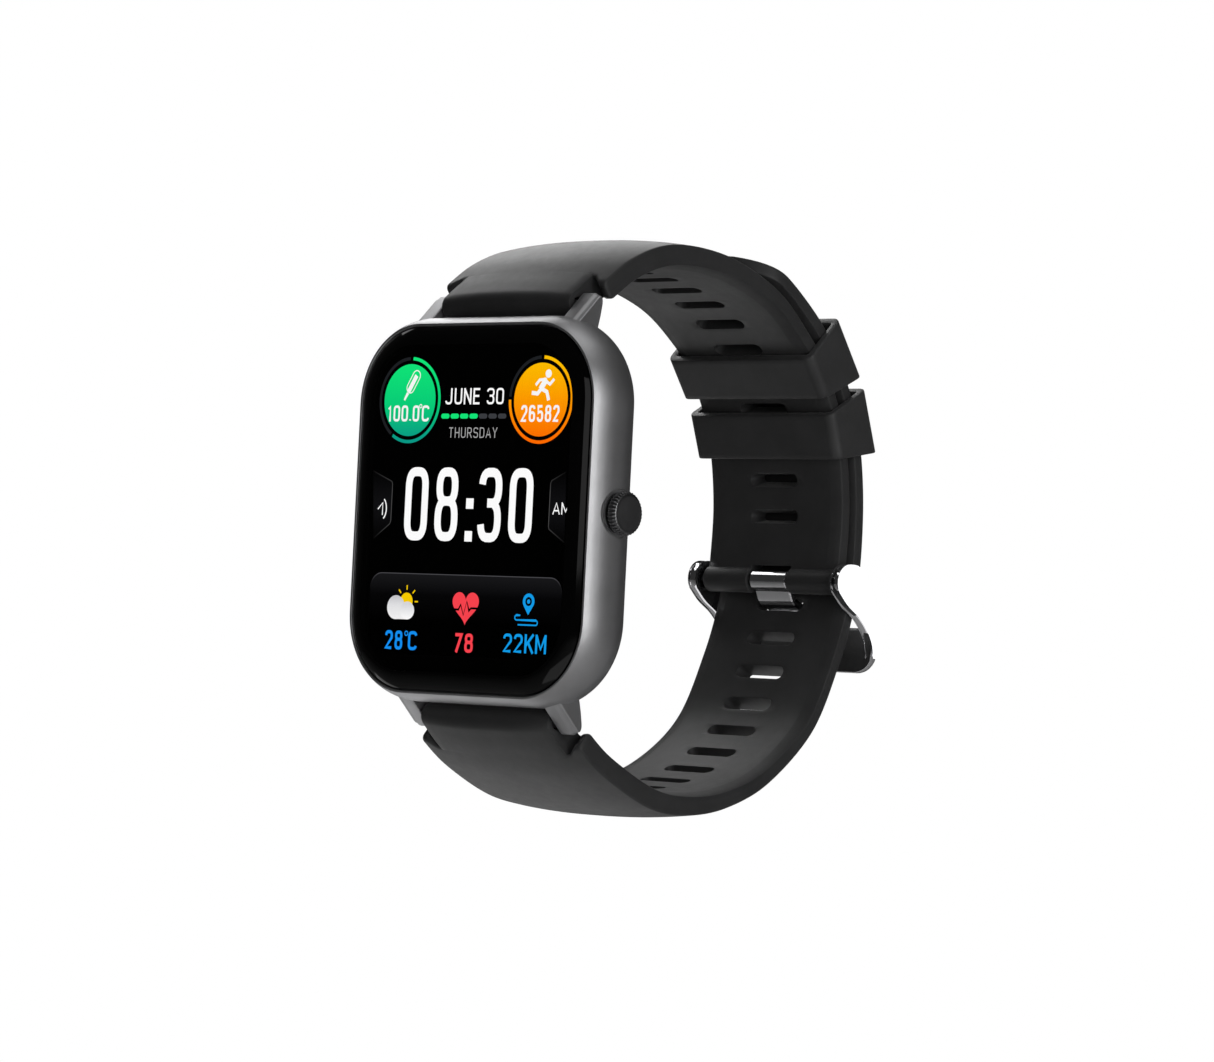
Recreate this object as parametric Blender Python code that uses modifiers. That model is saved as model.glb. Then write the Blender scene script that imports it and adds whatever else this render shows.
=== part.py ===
"""Smartwatch: a barrel-sided metal case with a closed silicone strap, modelled as separate pieces.

Lengths in this file are millimetres, turned into metres where a point is made. A piece's place is
given as x (across, towards the crown), depth (back from the front lip of the case, towards the
wrist) and z (up, towards 12 o'clock). The world origin is the middle of the sensor window's outer
face, where the watch rests on the wrist, and the watch faces -Y.
"""

import math

import bmesh
import bpy
from mathutils import Matrix, Vector

MM = 0.001
WATCH_DEPTH = 10.6  # from the case's front lip back to the sensor window's outer face

# Case
CASE_HALF = (19.5, 22.3)  # half width and half height at the front lip
CORNER_RADIUS = 9.6
METAL_DEPTH = 7.9
BULGE = 0.95  # how far the barrel side stands out past the front lip
BULGE_DEPTH = 3.7
REAR_DROP = 2.8  # how far the barrel side pulls in again towards the back
POCKET_WALL = 0.35
POCKET_DEPTH = 1.5
CAVITY_WALL = 2.1
CORNER_STEPS = 7

# Glass and display
GLASS_GAP = 0.2
GLASS_CROWN = 0.9
GLASS_BACK = 0.8

# Lugs and spring bars
LUG_INNER = 11.0
LUG_OUTER = 13.7
BAR_DEPTH = 6.0
BAR_HEIGHT = 24.7
BAR_RADIUS = 0.75
BAR_TIP_RADIUS = 0.4
BAR_TUBE_HALF = 10.2
BAR_TIP_END = 12.2

# Crown
CROWN_DEPTH = 4.3
CROWN_RADIUS = 2.6
CROWN_TEETH = 36
CROWN_BASE = 20.75
CROWN_FACE = 21.95
STEM_RADIUS = 0.8

# Strap
STRAP_HALF_WIDE = 13.3
STRAP_HALF_NARROW = 10.9
INSERT_HALF = 10.6
SHOULDER_START = 2.7  # along the route from the spring bar
STRAP_EDGE_THICK = (1.45, 1.0)  # half thickness at the side edges, by the case and by the keepers
STRAP_CROWN = (0.85, 0.3)  # how far the outer face is domed, by the case and by the keepers
TAPER_FROM, TAPER_TO = 12.0, 50.0  # stations along a strap between which it narrows and thins
LAYER_GAP = 0.45  # between the dome of the inner strap layer and the flat of the outer one
FLEX_GAP = 0.35
FLEX_DEPTH = 20.5  # depth at which the lug ends of both straps flex
SLOT_LENGTH, SLOT_WIDTH, SLOT_PITCH = 7.8, 1.8, 4.77
UPPER_SLOTS = 11
SLOTS_BEFORE_TONGUE = 8  # on the lower strap, besides the tongue's own

UPPER_ROUTE = (
    (6.0, 24.7), (8.5, 26.6), (12.8, 29.5), (18.5, 31.6), (25.5, 32.0), (33.0, 31.1),
    (41.0, 28.5), (46.6, 24.7), (50.7, 20.6), (54.7, 13.2), (56.5, 4.1), (56.3, -5.8),
)
LOWER_ROUTE = (
    (6.0, -24.7), (8.4, -26.9), (12.8, -29.9), (20.6, -33.3), (27.6, -34.1), (35.3, -33.3),
    (43.6, -30.4), (51.5, -24.3), (56.1, -15.7), (58.4, -9.0), (59.2, -4.0),
)
TAIL_FROM_END, TAIL_TO_END = 7.5, 45.0  # stretch of the inner layer that the tail lies on
BUCKLE_BAR = (56.0, -5.8)
TONGUE_SLOT_Z = -9.0  # height of the slot that the tongue passes through

# Keepers
KEEPER_STATIONS = (27.8, 19.1)  # distance of each keeper's middle from the buckle bar
KEEPER_LENGTH = 6.1  # at the wrist side
KEEPER_FLARE = 1.0  # how much farther each end reaches at the outer side
KEEPER_WALL = 1.05
KEEPER_CLEAR = 0.45

# Buckle
HEAD_RADIUS = 2.0
ARM_INNER, ARM_OUTER = 11.35, 12.65
PIN_RADIUS = 0.75
TONGUE_HALF = 3.0
TONGUE_BARREL = 1.35


def at(x, depth, z):
    """The point x across, depth back from the front lip and z up, in metres."""
    return Vector((x, depth - WATCH_DEPTH, z)) * MM


def clear_scene():
    for obj in list(bpy.data.objects):
        bpy.data.objects.remove(obj, do_unlink=True)


def new_collection(name, hidden=False):
    collection = bpy.data.collections.new(name)
    collection.hide_render = hidden
    bpy.context.scene.collection.children.link(collection)
    return collection


def new_material(name, color, roughness, metallic=0.0):
    material = bpy.data.materials.new(name)
    material.use_nodes = True
    shader = material.node_tree.nodes["Principled BSDF"]
    shader.inputs["Base Color"].default_value = (*color, 1.0)
    shader.inputs["Roughness"].default_value = roughness
    shader.inputs["Metallic"].default_value = metallic
    return material


clear_scene()
PARTS = new_collection("smartwatch")
CUTTERS = new_collection("cutters", hidden=True)

GUNMETAL = new_material("gunmetal", (0.10, 0.10, 0.105), 0.35, 1.0)
GLASS = new_material("glass", (0.01, 0.01, 0.012), 0.05)
DISPLAY = new_material("display", (0.02, 0.02, 0.025), 0.2)
SILICONE = new_material("silicone", (0.022, 0.022, 0.023), 0.6)
CHROME = new_material("chrome", (0.80, 0.80, 0.82), 0.08, 1.0)
STEEL = new_material("steel", (0.60, 0.60, 0.62), 0.3, 1.0)
BLACK_PLASTIC = new_material("black_plastic", (0.02, 0.02, 0.02), 0.45)
RUBBER = new_material("rubber", (0.03, 0.03, 0.03), 0.7)
CIRCUIT = new_material("circuit", (0.02, 0.10, 0.05), 0.5)
GOLD = new_material("gold", (0.85, 0.62, 0.25), 0.25, 1.0)
FOIL = new_material("foil", (0.45, 0.46, 0.48), 0.4, 1.0)
LED_GREEN = new_material("led_green", (0.10, 0.75, 0.30), 0.2)


def add_object(name, bm, material=None, collection=None):
    """Turns a bmesh into an object with outward normals."""
    bmesh.ops.recalc_face_normals(bm, faces=bm.faces)
    mesh = bpy.data.meshes.new(name)
    bm.to_mesh(mesh)
    bm.free()
    obj = bpy.data.objects.new(name, mesh)
    target = collection or PARTS
    target.objects.link(obj)
    if material:
        mesh.materials.append(material)
    if target is CUTTERS:
        obj.hide_render = True
        obj.display_type = "WIRE"
    mesh.shade_smooth()
    mesh.set_sharp_from_angle(angle=math.radians(35))
    return obj


def move_origin(obj, point):
    """Puts an object's origin at a point without moving its shape."""
    obj.data.transform(Matrix.Translation(-point))
    obj.location = point


def loft(name, rings, material=None, collection=None):
    """A closed solid through rings of the same number of points, capped at both ends."""
    bm = bmesh.new()
    made = [[bm.verts.new(point) for point in ring] for ring in rings]
    count = len(made[0])
    for low, high in zip(made, made[1:]):
        for i in range(count):
            j = (i + 1) % count
            bm.faces.new((low[i], low[j], high[j], high[i]))
    bm.faces.new(made[0])
    bm.faces.new(made[-1])
    return add_object(name, bm, material, collection)


def box(name, low, high, material=None, collection=None, bevel=0.0):
    """A box between two corners given as (x, depth, z)."""
    bm = bmesh.new()
    bmesh.ops.create_cube(bm, size=1.0)
    first, last = at(*low), at(*high)
    bmesh.ops.scale(bm, verts=bm.verts, vec=last - first)
    bmesh.ops.translate(bm, verts=bm.verts, vec=(first + last) / 2)
    if bevel:
        bmesh.ops.bevel(bm, geom=bm.edges, offset=bevel * MM, segments=2, affect="EDGES", profile=0.5)
    return add_object(name, bm, material, collection)


def turned_x(name, profile, depth, z, sides, material=None, collection=None):
    """A solid turned about an axis along X: profile holds (x, radius), from one end to the other."""
    rings = []
    for x, radius in profile:
        ring = []
        for i in range(sides):
            angle = math.tau * i / sides
            ring.append(at(x, depth + radius * math.cos(angle), z + radius * math.sin(angle)))
        rings.append(ring)
    return loft(name, rings, material, collection)


def rod_x(name, x0, x1, depth, z, radius, sides, material=None, collection=None):
    return turned_x(name, ((x0, radius), (x1, radius)), depth, z, sides, material, collection)


def rod_y(name, x, depth0, depth1, z, radius, sides, material=None, collection=None):
    """A cylinder along the watch's depth."""
    rings = []
    for depth in (depth0, depth1):
        ring = []
        for i in range(sides):
            angle = math.tau * i / sides
            ring.append(at(x + radius * math.cos(angle), depth, z + radius * math.sin(angle)))
        rings.append(ring)
    return loft(name, rings, material, collection)


def side_prism(name, x0, x1, outline, material=None, collection=None, bevel=0.0):
    """An outline of (depth, z) points, extruded across from x0 to x1."""
    rings = [[at(x, depth, z) for depth, z in outline] for x in (x0, x1)]
    obj = loft(name, rings, material, collection)
    if bevel:
        add_bevel(obj, bevel)
    return obj


def add_bevel(obj, width, segments=2, angle=40):
    modifier = obj.modifiers.new("round", "BEVEL")
    modifier.width = width * MM
    modifier.segments = segments
    modifier.limit_method = "ANGLE"
    modifier.angle_limit = math.radians(angle)
    return modifier


def combine(obj, other, operation):
    modifier = obj.modifiers.new(operation.lower(), "BOOLEAN")
    modifier.operation = operation
    modifier.object = other
    modifier.solver = "EXACT"
    return modifier


def cut(obj, *cutters):
    for cutter in cutters:
        combine(obj, cutter, "DIFFERENCE")


def join(obj, *helpers):
    for helper in helpers:
        combine(obj, helper, "UNION")


def rounded_rectangle(half_x, half_z, radius, depth, steps=CORNER_STEPS):
    """Points of a rounded rectangle at one depth, counter-clockwise seen from the front."""
    ring = []
    for quarter, (sign_x, sign_z) in enumerate(((1, 1), (-1, 1), (-1, -1), (1, -1))):
        for i in range(steps + 1):
            angle = math.pi / 2 * (quarter + i / steps)
            x = sign_x * (half_x - radius) + radius * math.cos(angle)
            z = sign_z * (half_z - radius) + radius * math.sin(angle)
            ring.append(at(x, depth, z))
    return ring


def plate(name, half, radius, depth0, depth1, material=None, collection=None, steps=CORNER_STEPS):
    rings = [rounded_rectangle(*half, radius, depth, steps) for depth in (depth0, depth1)]
    return loft(name, rings, material, collection)


def grown(offset):
    """Half sizes and corner radius of the case outline, grown outwards by an offset."""
    return CASE_HALF[0] + offset, CASE_HALF[1] + offset, CORNER_RADIUS + offset


def barrel_offset(depth):
    """How far the case's side stands out from its front lip at a depth."""
    if depth <= BULGE_DEPTH:
        return BULGE * (1 - ((BULGE_DEPTH - depth) / BULGE_DEPTH) ** 2.2)
    share = (depth - BULGE_DEPTH) / (METAL_DEPTH - BULGE_DEPTH)
    return BULGE - REAR_DROP * (1 - math.sqrt(max(0.0, 1 - 0.97 * share * share)))


def smooth_path(points, step):
    """Evenly spaced stations (depth, z, along) on a Catmull-Rom curve through the points."""
    ends = [_mirror(points[1], points[0]), *points, _mirror(points[-2], points[-1])]
    fine = []
    for p0, p1, p2, p3 in zip(ends, ends[1:], ends[2:], ends[3:]):
        for i in range(40):
            fine.append(_catmull_rom(p0, p1, p2, p3, i / 40))
    fine.append(tuple(points[-1]))
    length = sum(math.dist(a, b) for a, b in zip(fine, fine[1:]))
    count = round(length / step)
    return [_walk(fine, length * i / count) for i in range(count + 1)]


def _mirror(inner, end):
    return (2 * end[0] - inner[0], 2 * end[1] - inner[1])


def _catmull_rom(p0, p1, p2, p3, t):
    return tuple(
        0.5 * (2 * b + (c - a) * t + (2 * a - 5 * b + 4 * c - d) * t**2 + (3 * b - a - 3 * c + d) * t**3)
        for a, b, c, d in zip(p0, p1, p2, p3)
    )


def _walk(fine, target):
    gone = 0.0
    for a, b in zip(fine, fine[1:]):
        step = math.dist(a, b)
        if gone + step >= target - 1e-9:
            share = (target - gone) / step if step else 0.0
            return (a[0] + (b[0] - a[0]) * share, a[1] + (b[1] - a[1]) * share)
        gone += step
    return fine[-1]


def station(path, along, side=1):
    """Point, tangent and outward normal on an evenly spaced path, a distance from its start.

    side is +1 where outwards is to the left of the direction of travel and -1 where it is to the
    right.
    """
    step = math.dist(path[0], path[1])
    place = min(max(along / step, 0.0), len(path) - 1.001)
    i = int(place)
    share = place - i
    before, after = path[max(i - 1, 0)], path[min(i + 2, len(path) - 1)]
    a, b = path[i], path[i + 1]
    point = (a[0] + (b[0] - a[0]) * share, a[1] + (b[1] - a[1]) * share)
    dy, dz = after[0] - before[0], after[1] - before[1]
    size = math.hypot(dy, dz)
    tangent = (dy / size, dz / size)
    return point, tangent, (-tangent[1] * side, tangent[0] * side)


def path_length(path):
    return math.dist(path[0], path[1]) * (len(path) - 1)


UPPER_PATH = smooth_path(UPPER_ROUTE, 1.0)
UPPER_LENGTH = path_length(UPPER_PATH)


def tapered(pair, along):
    share = min(max((along - TAPER_FROM) / (TAPER_TO - TAPER_FROM), 0.0), 1.0)
    share = share * share * (3 - 2 * share)
    return pair[0] + (pair[1] - pair[0]) * share


def tail_points():
    """Points of the outer layer, a constant gap outside the inner one, up to the tail's tip."""
    points = []
    for i in range(9):
        along = UPPER_LENGTH - TAIL_FROM_END - (TAIL_TO_END - TAIL_FROM_END) * i / 8
        (depth, z), _, normal = station(UPPER_PATH, along)
        below = tapered(STRAP_EDGE_THICK, along) + tapered(STRAP_CROWN, along)
        lift = below + LAYER_GAP + STRAP_EDGE_THICK[1]
        points.append((depth + normal[0] * lift, z + normal[1] * lift))
    return points


LOWER_PATH = smooth_path((*LOWER_ROUTE, *tail_points()), 1.0)
LOWER_LENGTH = path_length(LOWER_PATH)


def strap_section(path, along, side, half_width, edge, dome):
    """A strap's cross-section: flat inside, straight side edges, domed outside."""
    (depth, z), _, normal = station(path, along, side)
    outline = (
        (-half_width, -edge), (-half_width, edge), (-0.6 * half_width, edge + 0.7 * dome),
        (0.0, edge + dome), (0.6 * half_width, edge + 0.7 * dome), (half_width, edge),
        (half_width, -edge), (0.0, -edge),
    )
    return [at(x, depth + normal[0] * out, z + normal[1] * out) for x, out in outline]


def full_section(path, along, side):
    half_width = tapered((STRAP_HALF_WIDE, STRAP_HALF_NARROW), along)
    return strap_section(
        path, along, side, half_width, tapered(STRAP_EDGE_THICK, along), tapered(STRAP_CROWN, along)
    )


def strap_loft(name, path, start, stop, side, step=2.6):
    count = max(2, round((stop - start) / step))
    rings = [
        full_section(path, start + (stop - start) * i / count, side) for i in range(count + 1)
    ]
    return loft(name, rings, SILICONE)


def slot_cutter(name, path, along, side, length=SLOT_LENGTH, width=SLOT_WIDTH):
    """A round-ended slot cut square through a strap."""
    (depth, z), tangent, normal = station(path, along, side)
    straight = (length - width) / 2
    rings = []
    for out in (-3.0, 3.2):
        ring = []
        for i in range(10):
            angle = math.tau * (i + 0.5) / 10
            x = math.copysign(straight, math.cos(angle)) + width / 2 * math.cos(angle)
            run = width / 2 * math.sin(angle)
            ring.append(at(
                x,
                depth + tangent[0] * run + normal[0] * out,
                z + tangent[1] * run + normal[1] * out,
            ))
        rings.append(ring)
    return loft(name, rings, collection=CUTTERS)


def joined_cutter(name, pieces):
    """Several separate cutters as one mesh, so that one Boolean makes all the cuts."""
    bm = bmesh.new()
    for piece in pieces:
        bm.from_mesh(piece.data)
        bpy.data.objects.remove(piece, do_unlink=True)
    return add_object(name, bm, collection=CUTTERS)


# ---------------------------------------------------------------- case


def lug_outline(sign):
    """Side view of a lug: a bar that leans back, with a rounded tip."""
    points = (
        (1.7, 21.9), (5.95, 25.95), (6.4, 26.2), (6.95, 25.95), (7.25, 25.4), (7.3, 24.8),
        (6.7, 22.0), (6.2, 20.6),
    )
    return [(depth, sign * z) for depth, z in points]


def make_lugs(case):
    for sign_z, row in ((1, "top"), (-1, "bottom")):
        for sign_x, side in ((1, "right"), (-1, "left")):
            x0, x1 = sorted((sign_x * LUG_INNER, sign_x * LUG_OUTER))
            lug = side_prism(
                f"lug_{row}_{side}", x0, x1, lug_outline(sign_z), collection=CUTTERS, bevel=0.3
            )
            join(case, lug)
        bar_hole = rod_x(
            f"bar_hole_{row}", -13.0, 13.0, BAR_DEPTH, sign_z * BAR_HEIGHT, BAR_TIP_RADIUS + 0.25,
            10, collection=CUTTERS,
        )
        cut(case, bar_hole)


def make_mid_case():
    depths = (0.0, 0.5, 1.3, 2.4, 3.7, 5.1, 6.3, 7.1, 7.6, METAL_DEPTH)
    rings = [rounded_rectangle(*grown(barrel_offset(depth)), depth) for depth in depths]
    case = loft("mid_case", rings, GUNMETAL)
    make_lugs(case)
    pocket = plate(
        "glass_pocket", grown(-POCKET_WALL)[:2], CORNER_RADIUS - POCKET_WALL, -1.0, POCKET_DEPTH,
        collection=CUTTERS,
    )
    cavity = plate(
        "case_cavity", grown(-CAVITY_WALL)[:2], CORNER_RADIUS - CAVITY_WALL, 1.0, METAL_DEPTH + 1,
        collection=CUTTERS,
    )
    crown_seat = rod_x(
        "crown_seat", 20.1, 23.0, CROWN_DEPTH, 0.0, CROWN_RADIUS + 0.3, 28, collection=CUTTERS
    )
    crown_hole = rod_x("crown_hole", 15.0, 23.0, CROWN_DEPTH, 0.0, 1.7, 16, collection=CUTTERS)
    cut(case, pocket, cavity, crown_seat, crown_hole)
    return case


def make_glass():
    edge = -(POCKET_WALL + GLASS_GAP)
    steps = ((-GLASS_CROWN, -1.6), (-0.84, -1.0), (-0.66, -0.5), (-0.38, -0.16), (0.0, 0.0),
             (GLASS_BACK, 0.0))
    rings = [rounded_rectangle(*grown(edge + inset), depth) for depth, inset in steps]
    loft("cover_glass", rings, GLASS)
    gasket = plate(
        "glass_gasket", grown(edge)[:2], CORNER_RADIUS + edge, 0.95, 1.3, RUBBER
    )
    cut(gasket, plate(
        "gasket_window", grown(-CAVITY_WALL - 0.1)[:2], CORNER_RADIUS - CAVITY_WALL, 0.5, 2.0,
        collection=CUTTERS,
    ))
    plate("display_panel", (16.9, 19.7), 7.1, 0.95, 2.1, DISPLAY)


def make_inner_frame():
    """Plastic tray that carries the board in front and the battery behind."""
    frame = plate("inner_frame", (17.0, 19.8), 7.1, 2.4, 6.4, BLACK_PLASTIC, steps=5)
    front = plate("frame_front_pocket", (15.9, 18.7), 6.2, 2.0, 3.9, collection=CUTTERS, steps=5)
    back = plate("frame_back_pocket", (15.9, 18.7), 6.2, 4.6, 7.0, collection=CUTTERS, steps=5)
    crown_gap = box("frame_crown_gap", (8.8, 1.9, -4.2), (18.0, 7.0, 4.2), collection=CUTTERS)
    cut(frame, front, back, crown_gap)
    box("main_board", (-15.3, 2.5, -5.0), (8.3, 3.3, 14.0), CIRCUIT)
    box("shield_can", (-11.0, 3.45, 0.5), (2.0, 3.8, 11.0), FOIL)
    box("battery", (-14.0, 4.9, -16.5), (8.2, 6.3, 8.5), FOIL, bevel=0.3)
    rod_y("vibration_motor", 11.0, 4.9, 6.3, 12.5, 3.4, 24, STEEL)
    box("speaker", (9.6, 4.9, -16.2), (14.6, 6.3, -9.2), BLACK_PLASTIC, bevel=0.25)


def make_rear():
    gasket = plate("rear_gasket", (17.0, 19.8), 7.1, 6.75, 7.25, RUBBER, steps=5)
    cut(gasket, plate("rear_gasket_window", (16.0, 18.8), 6.2, 6.0, 8.5, collection=CUTTERS, steps=5))
    cover_steps = ((7.4, (17.0, 19.8), 7.1), (8.15, (17.0, 19.8), 7.1), (8.2, (17.5, 20.3), 7.6),
                   (8.7, (17.4, 20.2), 7.5), (9.3, (16.2, 19.0), 6.6))
    rings = [rounded_rectangle(*half, radius, depth, 6) for depth, half, radius in cover_steps]
    cover = loft("rear_cover", rings, BLACK_PLASTIC)
    seat = rod_y("sensor_seat", 0.0, 8.3, 11.0, 0.0, 9.0, 40, collection=CUTTERS)
    hollow = rod_y("sensor_hollow", 0.0, 7.0, 9.0, 0.0, 7.6, 40, collection=CUTTERS)
    cut(cover, seat, hollow)
    for sign_x in (1, -1):
        for sign_z, row in ((1, "top"), (-1, "bottom")):
            side = "right" if sign_x > 0 else "left"
            x, z = sign_x * 12.6, sign_z * 15.4
            cut(cover, rod_y(
                f"screw_bore_{row}_{side}", x, 6.0, 11.0, z, 0.75, 12, collection=CUTTERS
            ), rod_y(
                f"screw_sink_{row}_{side}", x, 8.35, 11.0, z, 1.3, 16, collection=CUTTERS
            ))
            make_screw(f"case_screw_{row}_{side}", x, z)
    for index, x in enumerate((-2.2, 2.2), start=1):
        cut(cover, rod_y(f"contact_bore_{index}", x, 6.0, 11.0, -14.0, 0.95, 16, collection=CUTTERS))
        rod_y(f"charge_contact_{index}", x, 7.6, 9.35, -14.0, 0.8, 16, GOLD)
    for index, x in enumerate((-7.6, 7.6), start=1):
        cut(cover, rod_y(f"magnet_pocket_{index}", x, 7.0, 8.6, -14.0, 1.9, 20, collection=CUTTERS))
        rod_y(f"charge_magnet_{index}", x, 7.45, 8.4, -14.0, 1.7, 20, STEEL)


def make_screw(name, x, z):
    """Countersunk screw with a cross slot in its head."""
    profile = ((6.9, 0.5), (8.45, 0.5), (8.5, 1.05), (8.95, 1.05))
    rings = []
    for depth, radius in profile:
        rings.append([
            at(x + radius * math.cos(math.tau * i / 12), depth, z + radius * math.sin(math.tau * i / 12))
            for i in range(12)
        ])
    screw = loft(name, rings, STEEL)
    cut(
        screw,
        box(f"{name}_slot_a", (x - 0.7, 8.75, z - 0.15), (x + 0.7, 9.5, z + 0.15), collection=CUTTERS),
        box(f"{name}_slot_b", (x - 0.15, 8.75, z - 0.7), (x + 0.15, 9.5, z + 0.7), collection=CUTTERS),
    )


def make_sensor():
    rings = []
    for depth, radius in ((8.6, 8.7), (9.5, 8.7), (10.2, 8.2), (10.6, 6.4)):
        rings.append([
            at(radius * math.cos(math.tau * i / 40), depth, radius * math.sin(math.tau * i / 40))
            for i in range(40)
        ])
    loft("sensor_window", rings, GLASS)
    rod_y("sensor_board", 0.0, 7.35, 7.8, 0.0, 7.2, 32, CIRCUIT)
    for index, x in enumerate((-3.4, 3.4), start=1):
        box(f"sensor_led_{index}", (x - 0.8, 7.95, -0.8), (x + 0.8, 8.4, 0.8), LED_GREEN)
    box("photodiode", (-1.3, 7.95, -1.3), (1.3, 8.4, 1.3), BLACK_PLASTIC)


# ---------------------------------------------------------------- crown


def make_crown():
    """Knurled cap on a stem, carried in a tube through the case wall."""
    rings = []
    root = CROWN_RADIUS - 0.28
    sides = CROWN_TEETH * 2
    for x, outer, inner in ((CROWN_BASE, 2.45, 2.2), (CROWN_BASE + 0.15, CROWN_RADIUS, root),
                            (CROWN_FACE - 0.35, CROWN_RADIUS, root), (CROWN_FACE, 2.25, 2.2)):
        ring = []
        for i in range(sides):
            radius = outer if i % 2 else inner
            angle = math.tau * i / sides
            ring.append(at(x, CROWN_DEPTH + radius * math.cos(angle), radius * math.sin(angle)))
        rings.append(ring)
    cap = loft("crown_cap", rings, GUNMETAL)
    cut(cap, rod_x("crown_socket", 20.0, 21.4, CROWN_DEPTH, 0.0, STEM_RADIUS + 0.2, 14, collection=CUTTERS))
    move_origin(cap, at(CROWN_BASE, CROWN_DEPTH, 0.0))
    stem = turned_x(
        "crown_stem",
        ((11.6, 0.5), (11.9, STEM_RADIUS), (17.85, STEM_RADIUS), (17.86, 0.5), (18.3, 0.5),
         (18.31, STEM_RADIUS), (21.25, STEM_RADIUS)),
        CROWN_DEPTH, 0.0, 14, STEEL,
    )
    move_origin(stem, at(16.0, CROWN_DEPTH, 0.0))
    tube = rod_x("crown_tube", 17.0, 20.3, CROWN_DEPTH, 0.0, 1.55, 20, STEEL)
    collar = rod_x("crown_tube_collar", 20.13, 20.35, CROWN_DEPTH, 0.0, 2.4, 28, collection=CUTTERS)
    join(tube, collar)
    cut(tube, rod_x("crown_tube_bore", 16.0, 21.0, CROWN_DEPTH, 0.0, 1.05, 16, collection=CUTTERS))
    ring_of("crown_oring", 17.9, 18.25, CROWN_DEPTH, 0.62, 0.98, RUBBER)
    ring_of("crown_clip", 16.2, 16.6, CROWN_DEPTH, 0.95, 1.6, STEEL)
    toothed_wheel("encoder_wheel", 12.6, 14.0, 1.0, 2.0, 18)
    box("encoder_sensor", (12.4, 6.6, -1.2), (14.2, 7.3, 1.2), BLACK_PLASTIC)
    switch = box("crown_switch", (9.4, 3.2, -1.7), (10.6, 5.4, 1.7), BLACK_PLASTIC, bevel=0.15)
    cut(switch, rod_x("plunger_well", 9.9, 12.0, CROWN_DEPTH, 0.0, 0.85, 12, collection=CUTTERS))
    rod_x("switch_plunger", 10.4, 11.35, CROWN_DEPTH, 0.0, 0.65, 12, STEEL)


def ring_of(name, x0, x1, depth, inner, outer, material):
    ring = rod_x(name, x0, x1, depth, 0.0, outer, 16, material)
    cut(ring, rod_x(f"{name}_bore", x0 - 1, x1 + 1, depth, 0.0, inner, 16, collection=CUTTERS))
    return ring


def toothed_wheel(name, x0, x1, inner, outer, teeth):
    rings = []
    for x in (x0, x1):
        rings.append([
            at(
                x,
                CROWN_DEPTH + (outer if i % 4 < 2 else outer - 0.4) * math.cos(math.tau * i / teeth / 4),
                (outer if i % 4 < 2 else outer - 0.4) * math.sin(math.tau * i / teeth / 4),
            )
            for i in range(teeth * 4)
        ])
    wheel = loft(name, rings, BLACK_PLASTIC)
    cut(wheel, rod_x(f"{name}_bore", x0 - 1, x1 + 1, CROWN_DEPTH, 0.0, inner, 14, collection=CUTTERS))
    move_origin(wheel, at(x0, CROWN_DEPTH, 0.0))
    return wheel


# ---------------------------------------------------------------- strap


def make_spring_bar(row, sign):
    """Telescopic bar between two lugs, with a thumb lever that draws one tip in."""
    z = sign * BAR_HEIGHT
    tube = rod_x(
        f"{row}_bar_tube", -BAR_TUBE_HALF, BAR_TUBE_HALF, BAR_DEPTH, z, BAR_RADIUS, 14, STEEL
    )
    hollow = rod_x(
        f"{row}_bar_hollow", -BAR_TUBE_HALF - 1, -4.0, BAR_DEPTH, z, BAR_TIP_RADIUS + 0.1, 12,
        collection=CUTTERS,
    )
    cut(tube, hollow)
    right_tip = turned_x(
        f"{row}_bar_right_tip", ((9.0, BAR_TIP_RADIUS), (BAR_TIP_END, BAR_TIP_RADIUS)),
        BAR_DEPTH, z, 12, collection=CUTTERS,
    )
    join(tube, right_tip)
    move_origin(tube, at(0.0, BAR_DEPTH, z))
    tip = rod_x(
        f"{row}_bar_tip", -BAR_TIP_END, -6.0, BAR_DEPTH, z, BAR_TIP_RADIUS, 12, STEEL
    )
    slot = box(
        f"{row}_bar_lever_slot", (-8.6, BAR_DEPTH, z - 0.45), (-5.8, BAR_DEPTH + 2.0, z + 0.45),
        collection=CUTTERS,
    )
    cut(tube, slot)
    lever = box(
        f"{row}_bar_lever_stalk", (-8.4, BAR_DEPTH + 0.1, z - 0.28), (-7.5, BAR_DEPTH + 2.3, z + 0.28),
        collection=CUTTERS,
    )
    join(tip, lever)
    move_origin(tip, at(-8.0, BAR_DEPTH, z))


def strap_end(name, path, side, row, sign):
    """The lug end of a strap: a roll on the spring bar, an insert between the lugs and shoulders."""
    z = sign * BAR_HEIGHT
    flex = flex_station(path)
    narrow = [
        strap_section(path, along, side, INSERT_HALF, 1.45, 0.3) for along in (0.6, SHOULDER_START + 0.4)
    ]
    wide = strap_loft(name, path, SHOULDER_START, flex - FLEX_GAP / 2, side)
    insert = loft(f"{name}_insert", narrow, collection=CUTTERS)
    roll = rod_x(
        f"{name}_roll", -INSERT_HALF, INSERT_HALF, BAR_DEPTH, z, 1.45, 18, collection=CUTTERS
    )
    join(wide, insert, roll)
    cut(
        wide,
        rod_x(f"{name}_tunnel", -14.0, 14.0, BAR_DEPTH, z, BAR_RADIUS + 0.3, 14, collection=CUTTERS),
        box(
            f"{name}_lever_window", (-9.6, BAR_DEPTH - 0.2, z - 0.8), (-5.0, BAR_DEPTH + 3.0, z + 0.8),
            collection=CUTTERS,
        ),
    )
    move_origin(wide, at(0.0, BAR_DEPTH, z))
    return wide


def flex_station(path):
    """Distance along a path at which it first reaches the flex depth."""
    step = math.dist(path[0], path[1])
    for i, (depth, _) in enumerate(path):
        if depth >= FLEX_DEPTH:
            return i * step
    return 0.0


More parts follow.
